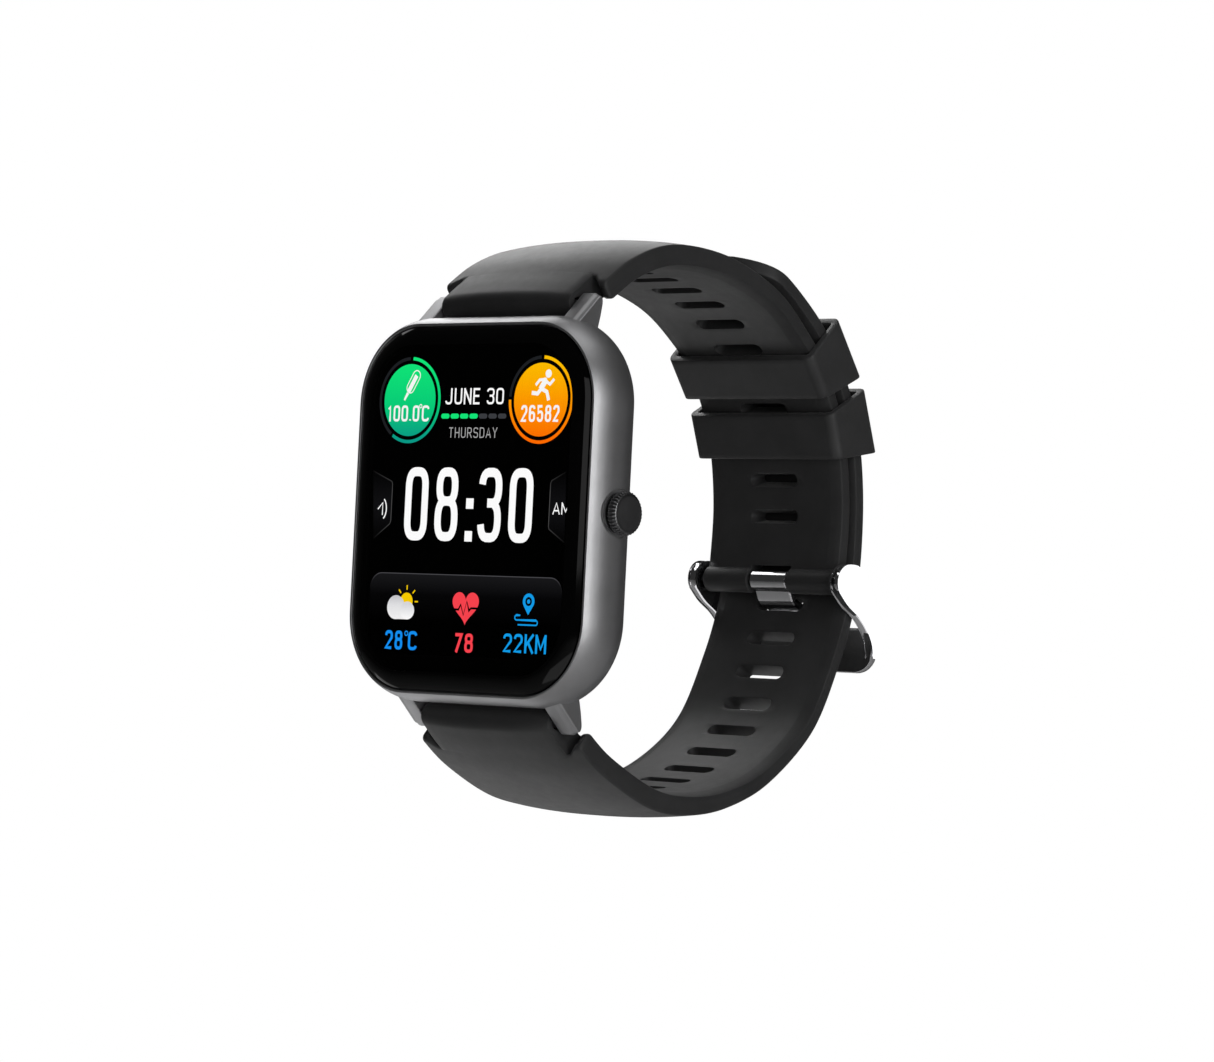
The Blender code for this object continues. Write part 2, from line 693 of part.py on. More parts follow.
def make_upper_strap():
    start = flex_station(UPPER_PATH) + FLEX_GAP / 2
    strap = strap_loft("upper_strap", UPPER_PATH, start, UPPER_LENGTH - 0.6, 1)
    roll = rod_x(
        "upper_strap_roll", -STRAP_HALF_NARROW, STRAP_HALF_NARROW, *BUCKLE_BAR, 1.65, 18,
        collection=CUTTERS,
    )
    join(strap, roll)
    slots = [
        slot_cutter(f"upper_slot_{i}", UPPER_PATH, UPPER_LENGTH - 8.2 - SLOT_PITCH * i, 1)
        for i in range(UPPER_SLOTS)
    ]
    notch = box(
        "tongue_notch", (-TONGUE_HALF - 0.35, BUCKLE_BAR[0] - 4, BUCKLE_BAR[1] - 3),
        (TONGUE_HALF + 0.35, BUCKLE_BAR[0] + 4, BUCKLE_BAR[1] + 1.9), collection=CUTTERS,
    )
    tunnel = rod_x("buckle_tunnel", -14.0, 14.0, *BUCKLE_BAR, PIN_RADIUS + 0.15, 14, collection=CUTTERS)
    cut(strap, joined_cutter("upper_slots", slots), notch, tunnel)
    strap_end("upper_strap_end", UPPER_PATH, 1, "top", 1)


def make_lower_strap():
    start = flex_station(LOWER_PATH) + FLEX_GAP / 2
    tip_start = LOWER_LENGTH - 6.0
    count = round((tip_start - start) / 2.6)
    rings = [
        full_section(LOWER_PATH, start + (tip_start - start) * i / count, -1)
        for i in range(count + 1)
    ]
    for share in (0.35, 0.62, 0.82, 0.95, 0.995):
        half_width = 1.5 + (STRAP_HALF_NARROW - 1.5) * math.sqrt(1 - share * share)
        rings.append(strap_section(
            LOWER_PATH, tip_start + 6.0 * share, -1, half_width, 1.0, STRAP_CROWN[1]
        ))
    strap = loft("lower_strap", rings, SILICONE)
    slots = [
        slot_cutter(f"lower_slot_{i + SLOTS_BEFORE_TONGUE}", LOWER_PATH, tongue_station() + SLOT_PITCH * i, -1)
        for i in range(-SLOTS_BEFORE_TONGUE, 1)
    ]
    cut(strap, joined_cutter("lower_slots", slots))
    strap_end("lower_strap_end", LOWER_PATH, -1, "bottom", -1)


def tongue_station():
    """Distance along the lower strap of the slot that the tongue passes through."""
    step = math.dist(LOWER_PATH[0], LOWER_PATH[1])
    for i, ((depth, z), (_, next_z)) in enumerate(zip(LOWER_PATH, LOWER_PATH[1:])):
        if depth > 50 and next_z > TONGUE_SLOT_Z:
            return (i + (TONGUE_SLOT_Z - z) / (next_z - z)) * step
    return 0.0


def make_keeper(index, back):
    """A soft loop around both strap layers."""
    (depth, z), tangent, normal = station(UPPER_PATH, UPPER_LENGTH - back)
    inner = -(STRAP_EDGE_THICK[1] + KEEPER_CLEAR)
    outer = LAYER_GAP + 3 * STRAP_EDGE_THICK[1] + 2 * STRAP_CROWN[1] + KEEPER_CLEAR
    half = STRAP_HALF_NARROW + 0.15

    def block(name, grow, run, target, material=None):
        rings = []
        for end in (-1, 1):
            ring = []
            for x, out in rounded_section(half + grow, inner - grow, outer + grow, 0.25 + grow * 0.9):
                along = end * (run + KEEPER_FLARE * (out - inner) / (outer - inner))
                ring.append(at(
                    x,
                    depth + tangent[0] * along + normal[0] * out,
                    z + tangent[1] * along + normal[1] * out,
                ))
            rings.append(ring)
        return loft(name, rings, material, target)

    keeper = block(f"keeper_{index}", KEEPER_WALL, KEEPER_LENGTH / 2, PARTS, SILICONE)
    cut(keeper, block(f"keeper_window_{index}", 0.0, KEEPER_LENGTH, CUTTERS))
    move_origin(keeper, at(0.0, depth, z))


def rounded_section(half_x, low, high, radius):
    """A rounded rectangle of (x, out) points between two heights."""
    points = []
    corners = ((1, high), (-1, high), (-1, low), (1, low))
    for quarter, (sign, edge) in enumerate(corners):
        middle = edge - radius if edge == high else edge + radius
        for i in range(4):
            angle = math.pi / 2 * (quarter + i / 3)
            points.append((
                sign * (half_x - radius) + radius * math.cos(angle),
                middle + radius * math.sin(angle),
            ))
    return points


# ---------------------------------------------------------------- buckle


def arm_outline():
    """Side view of a buckle arm: a round head on the pin and a blade that sweeps out to the plate."""
    depth, z = BUCKLE_BAR
    head = []
    for i in range(7):
        angle = math.radians(215 - 125 * i / 6)
        head.append((depth + HEAD_RADIUS * math.cos(angle), z + HEAD_RADIUS * math.sin(angle)))
    blade = ((57.4, -3.85), (58.5, -4.45), (59.6, -6.0), (60.6, -7.9), (61.75, -10.1), (62.65, -12.2),
             (62.7, -13.6), (62.3, -14.9), (61.6, -14.9), (61.3, -13.4), (60.2, -11.6), (58.4, -9.9),
             (56.1, -8.5))
    return [*head, *blade]


def make_buckle():
    frame = side_prism("buckle_frame", ARM_INNER, ARM_OUTER, arm_outline(), CHROME)
    other = side_prism("buckle_arm_left", -ARM_OUTER, -ARM_INNER, arm_outline(), collection=CUTTERS)
    plate_outline = ((60.35, -12.0), (61.35, -11.6), (62.35, -13.2), (62.75, -15.2), (62.6, -16.9),
                     (61.7, -16.9), (61.6, -15.2), (61.2, -13.5))
    crosspiece = side_prism(
        "buckle_plate", -ARM_OUTER + 0.05, ARM_OUTER - 0.05, plate_outline, collection=CUTTERS
    )
    join(frame, crosspiece, other)
    cut(frame, rod_x("buckle_pin_bore", -14.0, 14.0, *BUCKLE_BAR, PIN_RADIUS + 0.15, 14, collection=CUTTERS))
    move_origin(frame, at(0.0, *BUCKLE_BAR))
    pin = rod_x("buckle_pin", -12.4, 12.4, *BUCKLE_BAR, PIN_RADIUS, 14, STEEL)
    move_origin(pin, at(0.0, *BUCKLE_BAR))
    make_tongue()


def make_tongue():
    """Tongue: a barrel rolled on the pin and a flat shank through the strap to the plate."""
    tongue = rod_x("buckle_tongue", -TONGUE_HALF, TONGUE_HALF, *BUCKLE_BAR, TONGUE_BARREL, 16, CHROME)
    (depth, z), _, normal = station(LOWER_PATH, tongue_station(), -1)
    through = (depth, z)
    past = (depth + normal[0] * 1.9, z + normal[1] * 1.9)
    route = ((56.3, -7.0), (57.0, -8.3), through, past, (61.9, -10.6), (63.35, -12.6), (63.6, -14.6))
    path = smooth_path(route, 1.2)
    rings = []
    for i in range(len(path)):
        (y, height), _, out = station(path, i * math.dist(path[0], path[1]), 1)
        half = 2.9 if i < len(path) - 2 else (2.5 if i == len(path) - 2 else 1.6)
        ring = [at(x, y + out[0] * o, height + out[1] * o)
                for x, o in ((-half, -0.5), (half, -0.5), (half, 0.5), (-half, 0.5))]
        rings.append(ring)
    shank = loft("tongue_shank", rings, collection=CUTTERS)
    join(tongue, shank)
    cut(tongue, rod_x("tongue_bore", -14.0, 14.0, *BUCKLE_BAR, PIN_RADIUS + 0.15, 14, collection=CUTTERS))
    move_origin(tongue, at(0.0, *BUCKLE_BAR))


make_mid_case()
make_glass()
make_inner_frame()
make_rear()
make_sensor()
make_crown()
make_spring_bar("top", 1)
make_spring_bar("bottom", -1)
make_upper_strap()
make_lower_strap()
for number, distance in enumerate(KEEPER_STATIONS, start=1):
    make_keeper(number, distance)
make_buckle()
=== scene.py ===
"""Looks of the smartwatch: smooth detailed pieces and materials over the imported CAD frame.

Lengths in this file are millimetres, turned into metres where a point is made. A place is given as
x (across, towards the crown), depth (back from the front lip of the case) and z (up).
"""

import math

import bmesh
import bpy
from mathutils import Matrix, Vector


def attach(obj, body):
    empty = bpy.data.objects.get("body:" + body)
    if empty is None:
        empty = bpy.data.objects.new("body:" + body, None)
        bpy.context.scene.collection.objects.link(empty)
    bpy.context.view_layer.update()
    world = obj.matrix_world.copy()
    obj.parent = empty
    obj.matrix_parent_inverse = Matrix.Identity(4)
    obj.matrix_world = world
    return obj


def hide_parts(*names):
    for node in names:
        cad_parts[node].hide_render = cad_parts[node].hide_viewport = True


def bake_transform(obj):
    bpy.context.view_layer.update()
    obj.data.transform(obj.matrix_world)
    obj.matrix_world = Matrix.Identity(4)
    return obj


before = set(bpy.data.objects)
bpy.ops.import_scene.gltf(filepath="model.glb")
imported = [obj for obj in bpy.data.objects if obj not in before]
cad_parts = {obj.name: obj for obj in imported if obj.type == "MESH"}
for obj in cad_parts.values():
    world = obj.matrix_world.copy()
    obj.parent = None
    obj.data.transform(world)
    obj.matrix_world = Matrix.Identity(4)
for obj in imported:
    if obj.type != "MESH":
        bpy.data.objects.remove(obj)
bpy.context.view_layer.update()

MM = 0.001
WATCH_DEPTH = 10.6

# Case
CASE_HALF = (19.5, 22.3)
CORNER_RADIUS = 9.6
METAL_DEPTH = 7.9
BULGE = 0.95
BULGE_DEPTH = 3.7
REAR_DROP = 2.8
POCKET_WALL = 0.35
GLASS_FRONT = -0.9
GLASS_ROUND = 2.1
BAR_DEPTH = 6.0
BAR_HEIGHT = 24.7
LUG_BORE = 0.65

# Back
COVER_HALF, COVER_CORNER = (17.5, 20.3), 7.6
SCREW_PLACE = (12.6, 15.4)
CONTACT_PLACE = (2.2, -14.0)

# Crown
CROWN_DEPTH = 4.3
CROWN_RADIUS = 2.6
CROWN_ROOT = 2.36
CROWN_TEETH = 36
CROWN_BASE = 20.75
CROWN_FACE = 21.95

# Strap
HALF_WIDE = 13.3
HALF_NARROW = 10.9
INSERT_HALF = 10.6
INSERT_LENGTH = 4.3
SHOULDER_START, SHOULDER_ROUND = 2.7, 0.7
EDGE_THICK = (1.45, 1.0)
CROWN_THICK = (0.85, 0.3)
EDGE_FILLET = 0.28
TAPER_FROM, TAPER_TO = 12.0, 50.0
LAYER_GAP = 0.45
SLOT_LENGTH, SLOT_WIDTH, SLOT_PITCH, SLOT_DRAFT = 7.8, 1.8, 4.77, 0.8
UPPER_SLOTS = 11
FIRST_SLOT = 8.2
TIP_LENGTH = 6.0
SLOTS_BEFORE_TONGUE = 8
UPPER_ROUTE = (
    (6.0, 24.7), (8.5, 26.6), (12.8, 29.5), (18.5, 31.6), (25.5, 32.0), (33.0, 31.1),
    (41.0, 28.5), (46.6, 24.7), (50.7, 20.6), (54.7, 13.2), (56.5, 4.1), (56.3, -5.8),
)
LOWER_ROUTE = (
    (6.0, -24.7), (8.4, -26.9), (12.8, -29.9), (20.6, -33.3), (27.6, -34.1), (35.3, -33.3),
    (43.6, -30.4), (51.5, -24.3), (56.1, -15.7), (58.4, -9.0), (59.2, -4.0),
)
TAIL_FROM_END, TAIL_TO_END = 7.5, 45.0
BAR_TUNNEL = 1.05
BUCKLE_BAR = (56.0, -5.8)
TONGUE_SLOT_Z = -9.0
ROLL_RADIUS, ROLL_END = 1.65, 1.35
NOTCH_HALF = 3.35

# Keepers and buckle
KEEPER_STATIONS = (27.8, 19.1)
KEEPER_LENGTH = 6.1
KEEPER_FLARE = 1.0
KEEPER_WALL = 1.05
KEEPER_CLEAR = 0.45
KEEPER_SOFTENING = 0.14
HEAD_RADIUS = 2.0
ARM_INNER, ARM_OUTER = 11.35, 12.65
ARM_SOFTENING = 0.28
PLATE_CORNER = 3.4
PIN_RADIUS = 0.75
PIN_BORE = 0.9

# Display: each layer lies a hair in front of the one before
LAYER_STEP = 0.006
PIXELS_PER_METRE = 11000.0

# Camera: its place in metres, lens and sensor in millimetres, turns in degrees
CAMERA_PLACE = (0.393724, -0.410425, -0.018733)
CAMERA_LENS, CAMERA_SENSOR = 139.76, 36.0
CAMERA_YAW, CAMERA_PITCH, CAMERA_ROLL = 42.87, -1.73, 2.85

# Floor, in metres
FLOOR_HEIGHT = -0.32


def at(x, depth, z):
    return Vector((x, depth - WATCH_DEPTH, z)) * MM


# ---------------------------------------------------------------- materials


class Nodes:
    """Shorthand for building a material's node tree."""

    def __init__(self, name, **settings):
        self.material = bpy.data.materials.new(name)
        self.material.use_nodes = True
        self.tree = self.material.node_tree
        self.shader = self.tree.nodes["Principled BSDF"]
        for socket, value in settings.items():
            self.shader.inputs[socket.replace("_", " ")].default_value = value
        self.place = self.tree.nodes.new("ShaderNodeTexCoord").outputs["Object"]

    def node(self, kind, inputs=None, **settings):
        made = self.tree.nodes.new("ShaderNode" + kind)
        for key, value in settings.items():
            setattr(made, key, value)
        for key, value in (inputs or {}).items():
            if isinstance(value, bpy.types.NodeSocket):
                self.tree.links.new(value, made.inputs[key])
            else:
                made.inputs[key].default_value = value
        return made

    def link(self, output, socket):
        self.tree.links.new(output, self.shader.inputs[socket])

    def stretched(self, scale):
        """Object coordinates scaled differently along each axis."""
        return self.node("Mapping", {"Vector": self.place, "Scale": scale}).outputs["Vector"]

    def noise(self, scale, detail=3.0, place=None):
        found = self.node("TexNoise", {"Vector": place or self.place, "Scale": scale, "Detail": detail})
        return found.outputs["Fac"]

    def ramp(self, factor, stops):
        """A colour ramp through (position, colour) stops."""
        made = self.node("ValToRGB", {"Fac": factor})
        elements = made.color_ramp.elements
        while len(elements) < len(stops):
            elements.new(0.5)
        for element, (position, color) in zip(elements, stops):
            element.position = position
            element.color = color if len(color) == 4 else (*color, 1.0)
        return made.outputs["Color"]

    def span(self, factor, low, high):
        """Maps a 0 to 1 value onto low to high."""
        return self.node("MapRange", {"Value": factor, "To Min": low, "To Max": high}).outputs["Result"]

    def mottle(self, factor, dark, light, edge=0.3):
        """Base colour that wanders between two colours."""
        self.link(self.ramp(factor, ((edge, dark), (1 - edge, light))), "Base Color")

    def roughness(self, factor, low, high):
        self.link(self.span(factor, low, high), "Roughness")

    def bump(self, height, strength, distance):
        made = self.node("Bump", {"Height": height, "Strength": strength, "Distance": distance})
        self.link(made.outputs["Normal"], "Normal")

    def smear(self):
        """Wiping marks in a polished surface."""
        return self.noise(1.0, 4.0, self.stretched((90.0, 90.0, 220.0)))


def grey(value):
    return (value, value, value * 1.02)


def silicone(name, shade):
    """Soft-touch moulded silicone: fine matt grain and faint cloudiness."""
    m = Nodes(name, IOR=1.43, Sheen_Weight=0.12, Sheen_Roughness=0.45)
    m.mottle(m.noise(220.0, 4.0), grey(shade * 0.88), grey(shade * 1.14))
    m.roughness(m.noise(900.0, 4.0), 0.44, 0.58)
    m.bump(m.noise(14000.0, 2.0), 0.22, 0.00002)
    return m.material


def satin_metal(name, shade, rough):
    """Bead-blasted anodised alloy: metallic, with a very fine even sparkle."""
    m = Nodes(name, Metallic=1.0)
    m.mottle(m.noise(260.0), grey(shade * 0.94), grey(shade * 1.06))
    m.roughness(m.noise(2400.0, 4.0), rough - 0.03, rough + 0.04)
    m.bump(m.noise(26000.0, 2.0), 0.10, 0.00001)
    return m.material


def turned_metal(name, shade, rough, stretch):
    """Machined steel with fine lathe lines."""
    m = Nodes(name, Metallic=1.0)
    lines = m.noise(1.0, 2.0, m.stretched(stretch))
    m.mottle(lines, grey(shade * 0.88), grey(shade))
    m.roughness(lines, rough - 0.05, rough + 0.08)
    m.bump(lines, 0.15, 0.00001)
    return m.material


def chrome(name):
    """Polished plating with the faintest waviness and handling haze."""
    m = Nodes(name, Metallic=1.0)
    m.mottle(m.noise(180.0), grey(0.80), grey(0.88))
    m.roughness(m.noise(700.0, 5.0), 0.03, 0.09)
    m.bump(m.noise(260.0, 1.0), 0.05, 0.00004)
    return m.material


def black_glass(name):
    """Hard coated glass, black behind, with a faint smear in its polish."""
    m = Nodes(name, IOR=1.5, Specular_IOR_Level=0.2)
    m.mottle(m.noise(60.0), grey(0.0008), grey(0.0016), 0.2)
    m.roughness(m.smear(), 0.03, 0.07)
    return m.material


def clear_pane(name):
    """The clear middle of the glass: see-through, with only a surface reflection."""
    m = Nodes(name)
    gloss = m.node("BsdfGlossy", {"Roughness": m.span(m.smear(), 0.03, 0.07)})
    clear = m.node("BsdfTransparent")
    facing = m.node("LayerWeight", {"Blend": 0.5}).outputs["Facing"]
    steep = m.node("Math", {0: facing, 1: 5.0}, operation="POWER").outputs["Value"]
    mix = m.node("MixShader", {"Fac": m.span(steep, 0.01, 0.8)})
    m.tree.links.new(clear.outputs["BSDF"], mix.inputs[1])
    m.tree.links.new(gloss.outputs["BSDF"], mix.inputs[2])
    m.tree.links.new(mix.outputs["Shader"], m.tree.nodes["Material Output"].inputs["Surface"])
    return m.material


def moulded(name, shade, rough=0.5, grain=9000.0):
    """Spark-eroded moulded plastic."""
    m = Nodes(name)
    m.mottle(m.noise(400.0), grey(shade * 0.85), grey(shade * 1.15))
    m.roughness(m.noise(1500.0), rough - 0.06, rough + 0.06)
    m.bump(m.noise(grain, 3.0), 0.3, 0.00002)
    return m.material


def dead_black(name):
    """The switched-off display seen through its coated glass: no gloss, and the faintest mottle."""
    m = Nodes(name, Roughness=0.8, Specular_IOR_Level=0.0)
    m.mottle(m.noise(500.0), grey(0.0004), grey(0.0007))
    return m.material


def coloured(name, dark, light, rough, metallic=0.0, scale=700.0, bump=0.15):
    """A surface that varies between two colours, with fine grain."""
    m = Nodes(name, Metallic=metallic)
    m.mottle(m.noise(scale, 4.0), dark, light, 0.35)
    m.roughness(m.noise(scale * 3), rough - 0.05, rough + 0.05)
    m.bump(m.noise(scale * 8), bump, 0.00002)
    return m.material


def circuit_board(name):
    """Green solder mask with darker copper tracks showing through."""
    m = Nodes(name)
    tracks = m.node("TexBrick", {
        "Vector": m.place, "Scale": 900.0, "Mortar Size": 0.03, "Color1": (0.010, 0.09, 0.04, 1),
        "Color2": (0.012, 0.12, 0.05, 1), "Mortar": (0.03, 0.20, 0.09, 1),
    })
    m.link(tracks.outputs["Color"], "Base Color")
    m.roughness(m.noise(900.0), 0.3, 0.45)
    m.bump(tracks.outputs["Fac"], 0.2, 0.00003)
    return m.material


def lit(name, stops, low=0.0, high=1.0):
    """A lit area of the display: colours by height between two heights, on a fine pixel grid."""
    m = Nodes(name, Roughness=0.5, Specular_IOR_Level=0.0, Emission_Strength=1.0)
    m.shader.inputs["Base Color"].default_value = (0.0, 0.0, 0.0, 1.0)
    z = m.node("SeparateXYZ", {"Vector": m.place}).outputs["Z"]
    height = m.node("MapRange", {"Value": z, "From Min": low * MM, "From Max": high * MM})
    color = m.ramp(height.outputs["Result"], [(position, srgb(text)) for position, text in stops])
    pixels = m.node("TexBrick", {
        "Vector": m.stretched((PIXELS_PER_METRE,) * 3), "Scale": 1.0, "Mortar Size": 0.04,
        "Color1": (1.0, 1.0, 1.0, 1), "Color2": (0.97, 0.97, 0.97, 1), "Mortar": (0.92, 0.92, 0.92, 1),
    })
    mixed = m.node("Mix", data_type="RGBA", blend_type="MULTIPLY")
    mixed.inputs["Factor"].default_value = 1.0
    m.tree.links.new(color, mixed.inputs["A"])
    m.tree.links.new(pixels.outputs["Color"], mixed.inputs["B"])
    m.link(mixed.outputs["Result"], "Emission Color")
    return m.material


def srgb(text):
    """A colour written as six hex digits, as linear values."""
    values = [int(text[i:i + 2], 16) / 255 for i in (0, 2, 4)]
    return tuple(v / 12.92 if v <= 0.04045 else ((v + 0.055) / 1.055) ** 2.4 for v in values)


def plain_lit(name, text):
    return lit(name, ((0.0, text), (1.0, text)))


M_METAL = satin_metal("gunmetal", 0.48, 0.46)
M_CROWN = satin_metal("crown_gunmetal", 0.16, 0.34)
M_GLASS = black_glass("black_glass")
M_PANE = clear_pane("clear_pane")
M_DECK = dead_black("display_black")
M_STRAP = silicone("strap_silicone", 0.034)
# The keepers' silicone is the strap's silicone painted a little lighter, as painted light on the keepers'
# fronts.
M_KEEPER_PAINTED_LIGHTER = silicone("keeper_silicone_painted_lighter", 0.036)
M_CHROME = chrome("chrome")
M_SATIN = satin_metal("satin_dark", 0.22, 0.45)
M_STEEL = turned_metal("turned_steel", 0.55, 0.28, (200.0, 9000.0, 9000.0))
M_BACK = moulded("back_plastic", 0.012, 0.32, 12000.0)
M_PLASTIC = moulded("black_plastic", 0.02)
M_RUBBER = moulded("gasket_rubber", 0.01, 0.7, 7000.0)
M_BOARD = circuit_board("circuit")
M_GOLD = coloured("gold", (0.72, 0.47, 0.14), (0.85, 0.60, 0.25), 0.22, 1.0)
M_FOIL = coloured("foil", (0.38, 0.39, 0.41), (0.55, 0.56, 0.58), 0.38, 1.0, 300.0, 0.4)
M_LED = coloured("led_green", (0.05, 0.45, 0.15), (0.10, 0.65, 0.25), 0.2, 0.0, 900.0)
M_WINDOW = black_glass("sensor_glass")


# ---------------------------------------------------------------- mesh helpers


def add_object(name, bm, material, angle=35):
    bmesh.ops.recalc_face_normals(bm, faces=bm.faces)
    mesh = bpy.data.meshes.new(name)
    bm.to_mesh(mesh)
    bm.free()
    obj = bpy.data.objects.new(name, mesh)
    bpy.context.scene.collection.objects.link(obj)
    if material:
        mesh.materials.append(material)
    smooth(obj, angle)
    return obj


def smooth(obj, angle=35):
    obj.data.shade_smooth()
    obj.data.set_sharp_from_angle(angle=math.radians(angle))


def loft(name, rings, material=None, caps=True, loop=False, angle=35):
    """A surface through rings of the same number of points, capped at both ends or closed on itself."""
    bm = bmesh.new()
    made = [[bm.verts.new(point) for point in ring] for ring in rings]
    count = len(made[0])
    pairs = list(zip(made, made[1:]))
    if loop:
        pairs.append((made[-1], made[0]))
    for low, high in pairs:
        for i in range(count):
            j = (i + 1) % count
            bm.faces.new((low[i], low[j], high[j], high[i]))
    if caps and not loop:
        bm.faces.new(made[0])
        if len(made) > 1:
            bm.faces.new(made[-1])
    return add_object(name, bm, material, angle)


def baked(obj):
    """Applies an object's modifiers to its mesh."""
    graph = bpy.context.evaluated_depsgraph_get()
    mesh = bpy.data.meshes.new_from_object(obj.evaluated_get(graph))
    obj.modifiers.clear()
    obj.data = mesh
    return obj


def carve(obj, cutters, operation="DIFFERENCE"):
    """Cuts other objects out of one, or joins them to it, and removes them."""
    for cutter in cutters:
        modifier = obj.modifiers.new("boolean", "BOOLEAN")
        modifier.operation = operation
        modifier.object = cutter
        modifier.solver = "EXACT"
    bpy.context.view_layer.update()
    baked(obj)
    for cutter in cutters:
        bpy.data.objects.remove(cutter, do_unlink=True)
    return obj


def bevelled(obj, width, segments=3, angle=40):
    modifier = obj.modifiers.new("round", "BEVEL")
    modifier.width = width * MM
    modifier.segments = segments
    modifier.limit_method = "ANGLE"
    modifier.angle_limit = math.radians(angle)
    modifier.use_clamp_overlap = True
    bpy.context.view_layer.update()
    baked(obj)
    smooth(obj, 32)
    return obj


def fitted(obj, body, slot, *nodes):
    """The piece rides on a body and hides the CAD nodes it stands for; the slot argument is not used."""
    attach(obj, body)
    if nodes:
        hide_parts(*nodes)
    return obj


def arc(x, z, radius, start, stop, count, radius_z=None):
    """Points on a circle or an oval from one angle to another, in degrees from +x towards +z."""
    points = []
    for i in range(count + 1):
        angle = math.radians(start + (stop - start) * i / count)
        points.append((x + radius * math.cos(angle), z + (radius_z or radius) * math.sin(angle)))
    return points


def rounded_rectangle(half_x, half_z, radius, depth, steps=24):
    """Points of a rounded rectangle that faces along the watch's depth."""
    ring = []
    for quarter, (sign_x, sign_z) in enumerate(((1, 1), (-1, 1), (-1, -1), (1, -1))):
        for i in range(steps + 1):
            angle = math.pi / 2 * (quarter + i / steps)
            x = sign_x * (half_x - radius) + radius * math.cos(angle)
            z = sign_z * (half_z - radius) + radius * math.sin(angle)
            ring.append(at(x, depth, z))
    return ring


def grown(offset):
    return CASE_HALF[0] + offset, CASE_HALF[1] + offset, CORNER_RADIUS + offset


def barrel_offset(depth):
    if depth <= BULGE_DEPTH:
        return BULGE * (1 - ((BULGE_DEPTH - depth) / BULGE_DEPTH) ** 2.2)
    share = (depth - BULGE_DEPTH) / (METAL_DEPTH - BULGE_DEPTH)
    return BULGE - REAR_DROP * (1 - math.sqrt(max(0.0, 1 - 0.97 * share * share)))


def circle(radius, depth, count=64, x=0.0, z=0.0):
    """Points of a circle that faces along the watch's depth."""
    return [
        at(x + radius * math.cos(math.tau * i / count), depth, z + radius * math.sin(math.tau * i / count))
        for i in range(count)
    ]


def plug(radius, front, rear, count=64, x=0.0, z=0.0):
    """A round bar along the watch's depth, to cut a hole with."""
    return loft("plug", [circle(radius, depth, count, x, z) for depth in (front, rear)])


def turned_x(name, profile, depth, z, sides, material=None):
    """A solid turned about an axis along X: profile holds (x, radius)."""
    turns = [math.tau * i / sides for i in range(sides)]
    rings = [
        [at(x, depth + radius * math.cos(turn), z + radius * math.sin(turn)) for turn in turns]
        for x, radius in profile
    ]
    return loft(name, rings, material)


# ---------------------------------------------------------------- strap routes


def smooth_path(points, step):
    """Evenly spaced stations on a Catmull-Rom curve through (depth, z) points."""
    ends = [mirrored(points[1], points[0]), *points, mirrored(points[-2], points[-1])]
    fine = []
    for p0, p1, p2, p3 in zip(ends, ends[1:], ends[2:], ends[3:]):
        for i in range(40):
            fine.append(catmull_rom(p0, p1, p2, p3, i / 40))
    fine.append(tuple(points[-1]))
    length = sum(math.dist(a, b) for a, b in zip(fine, fine[1:]))
    count = round(length / step)
    return [walk(fine, length * i / count) for i in range(count + 1)]


def mirrored(inner, end):
    return (2 * end[0] - inner[0], 2 * end[1] - inner[1])


def catmull_rom(p0, p1, p2, p3, t):
    return tuple(
        0.5 * (2 * b + (c - a) * t + (2 * a - 5 * b + 4 * c - d) * t**2 + (3 * b - a - 3 * c + d) * t**3)
        for a, b, c, d in zip(p0, p1, p2, p3)
    )


def walk(fine, target):
    gone = 0.0
    for a, b in zip(fine, fine[1:]):
        step = math.dist(a, b)
        if gone + step >= target - 1e-9:
            share = (target - gone) / step if step else 0.0
            return (a[0] + (b[0] - a[0]) * share, a[1] + (b[1] - a[1]) * share)
        gone += step
    return fine[-1]


def station(path, along, side=1):
    """Point, tangent and outward normal on an evenly spaced path, a distance from its start."""
    step = math.dist(path[0], path[1])
    place_on = min(max(along / step, 0.0), len(path) - 1.001)
    i = int(place_on)
    share = place_on - i
    a, b = path[i], path[i + 1]
    point = (a[0] + (b[0] - a[0]) * share, a[1] + (b[1] - a[1]) * share)
    return point, *directions(path[max(i - 1, 0)], path[min(i + 2, len(path) - 1)], side)


def directions(before, after, side):
    """The unit tangent from one point to another, and the outward normal."""
    dy, dz = after[0] - before[0], after[1] - before[1]
    size = math.hypot(dy, dz)
    tangent = (dy / size, dz / size)
    return tangent, (-tangent[1] * side, tangent[0] * side)


def smooth_station(path, along, side=1):
    """As station, with the direction averaged over a short stretch so that the surface is even."""
    before = station(path, max(along - 1.2, 0.0), side)[0]
    after = station(path, min(along + 1.2, path_length(path)), side)[0]
    return station(path, along, side)[0], *directions(before, after, side)


def beside(spot, x, run, out):
    """A point across, on along the path and outwards from a station."""
    (depth, z), tangent, normal = spot
    return at(x, depth + tangent[0] * run + normal[0] * out, z + tangent[1] * run + normal[1] * out)


def path_length(path):
    return math.dist(path[0], path[1]) * (len(path) - 1)


UPPER_PATH = smooth_path(UPPER_ROUTE, 1.0)
UPPER_LENGTH = path_length(UPPER_PATH)


def tapered(pair, along):
    share = min(max((along - TAPER_FROM) / (TAPER_TO - TAPER_FROM), 0.0), 1.0)
    share = share * share * (3 - 2 * share)
    return pair[0] + (pair[1] - pair[0]) * share


def tail_points():
    points = []
    for i in range(9):
        along = UPPER_LENGTH - TAIL_FROM_END - (TAIL_TO_END - TAIL_FROM_END) * i / 8
        (depth, z), _, normal = station(UPPER_PATH, along)
        below = tapered(EDGE_THICK, along) + tapered(CROWN_THICK, along)
        lift = below + LAYER_GAP + EDGE_THICK[1]
        points.append((depth + normal[0] * lift, z + normal[1] * lift))
    return points


LOWER_PATH = smooth_path((*LOWER_ROUTE, *tail_points()), 1.0)
LOWER_LENGTH = path_length(LOWER_PATH)


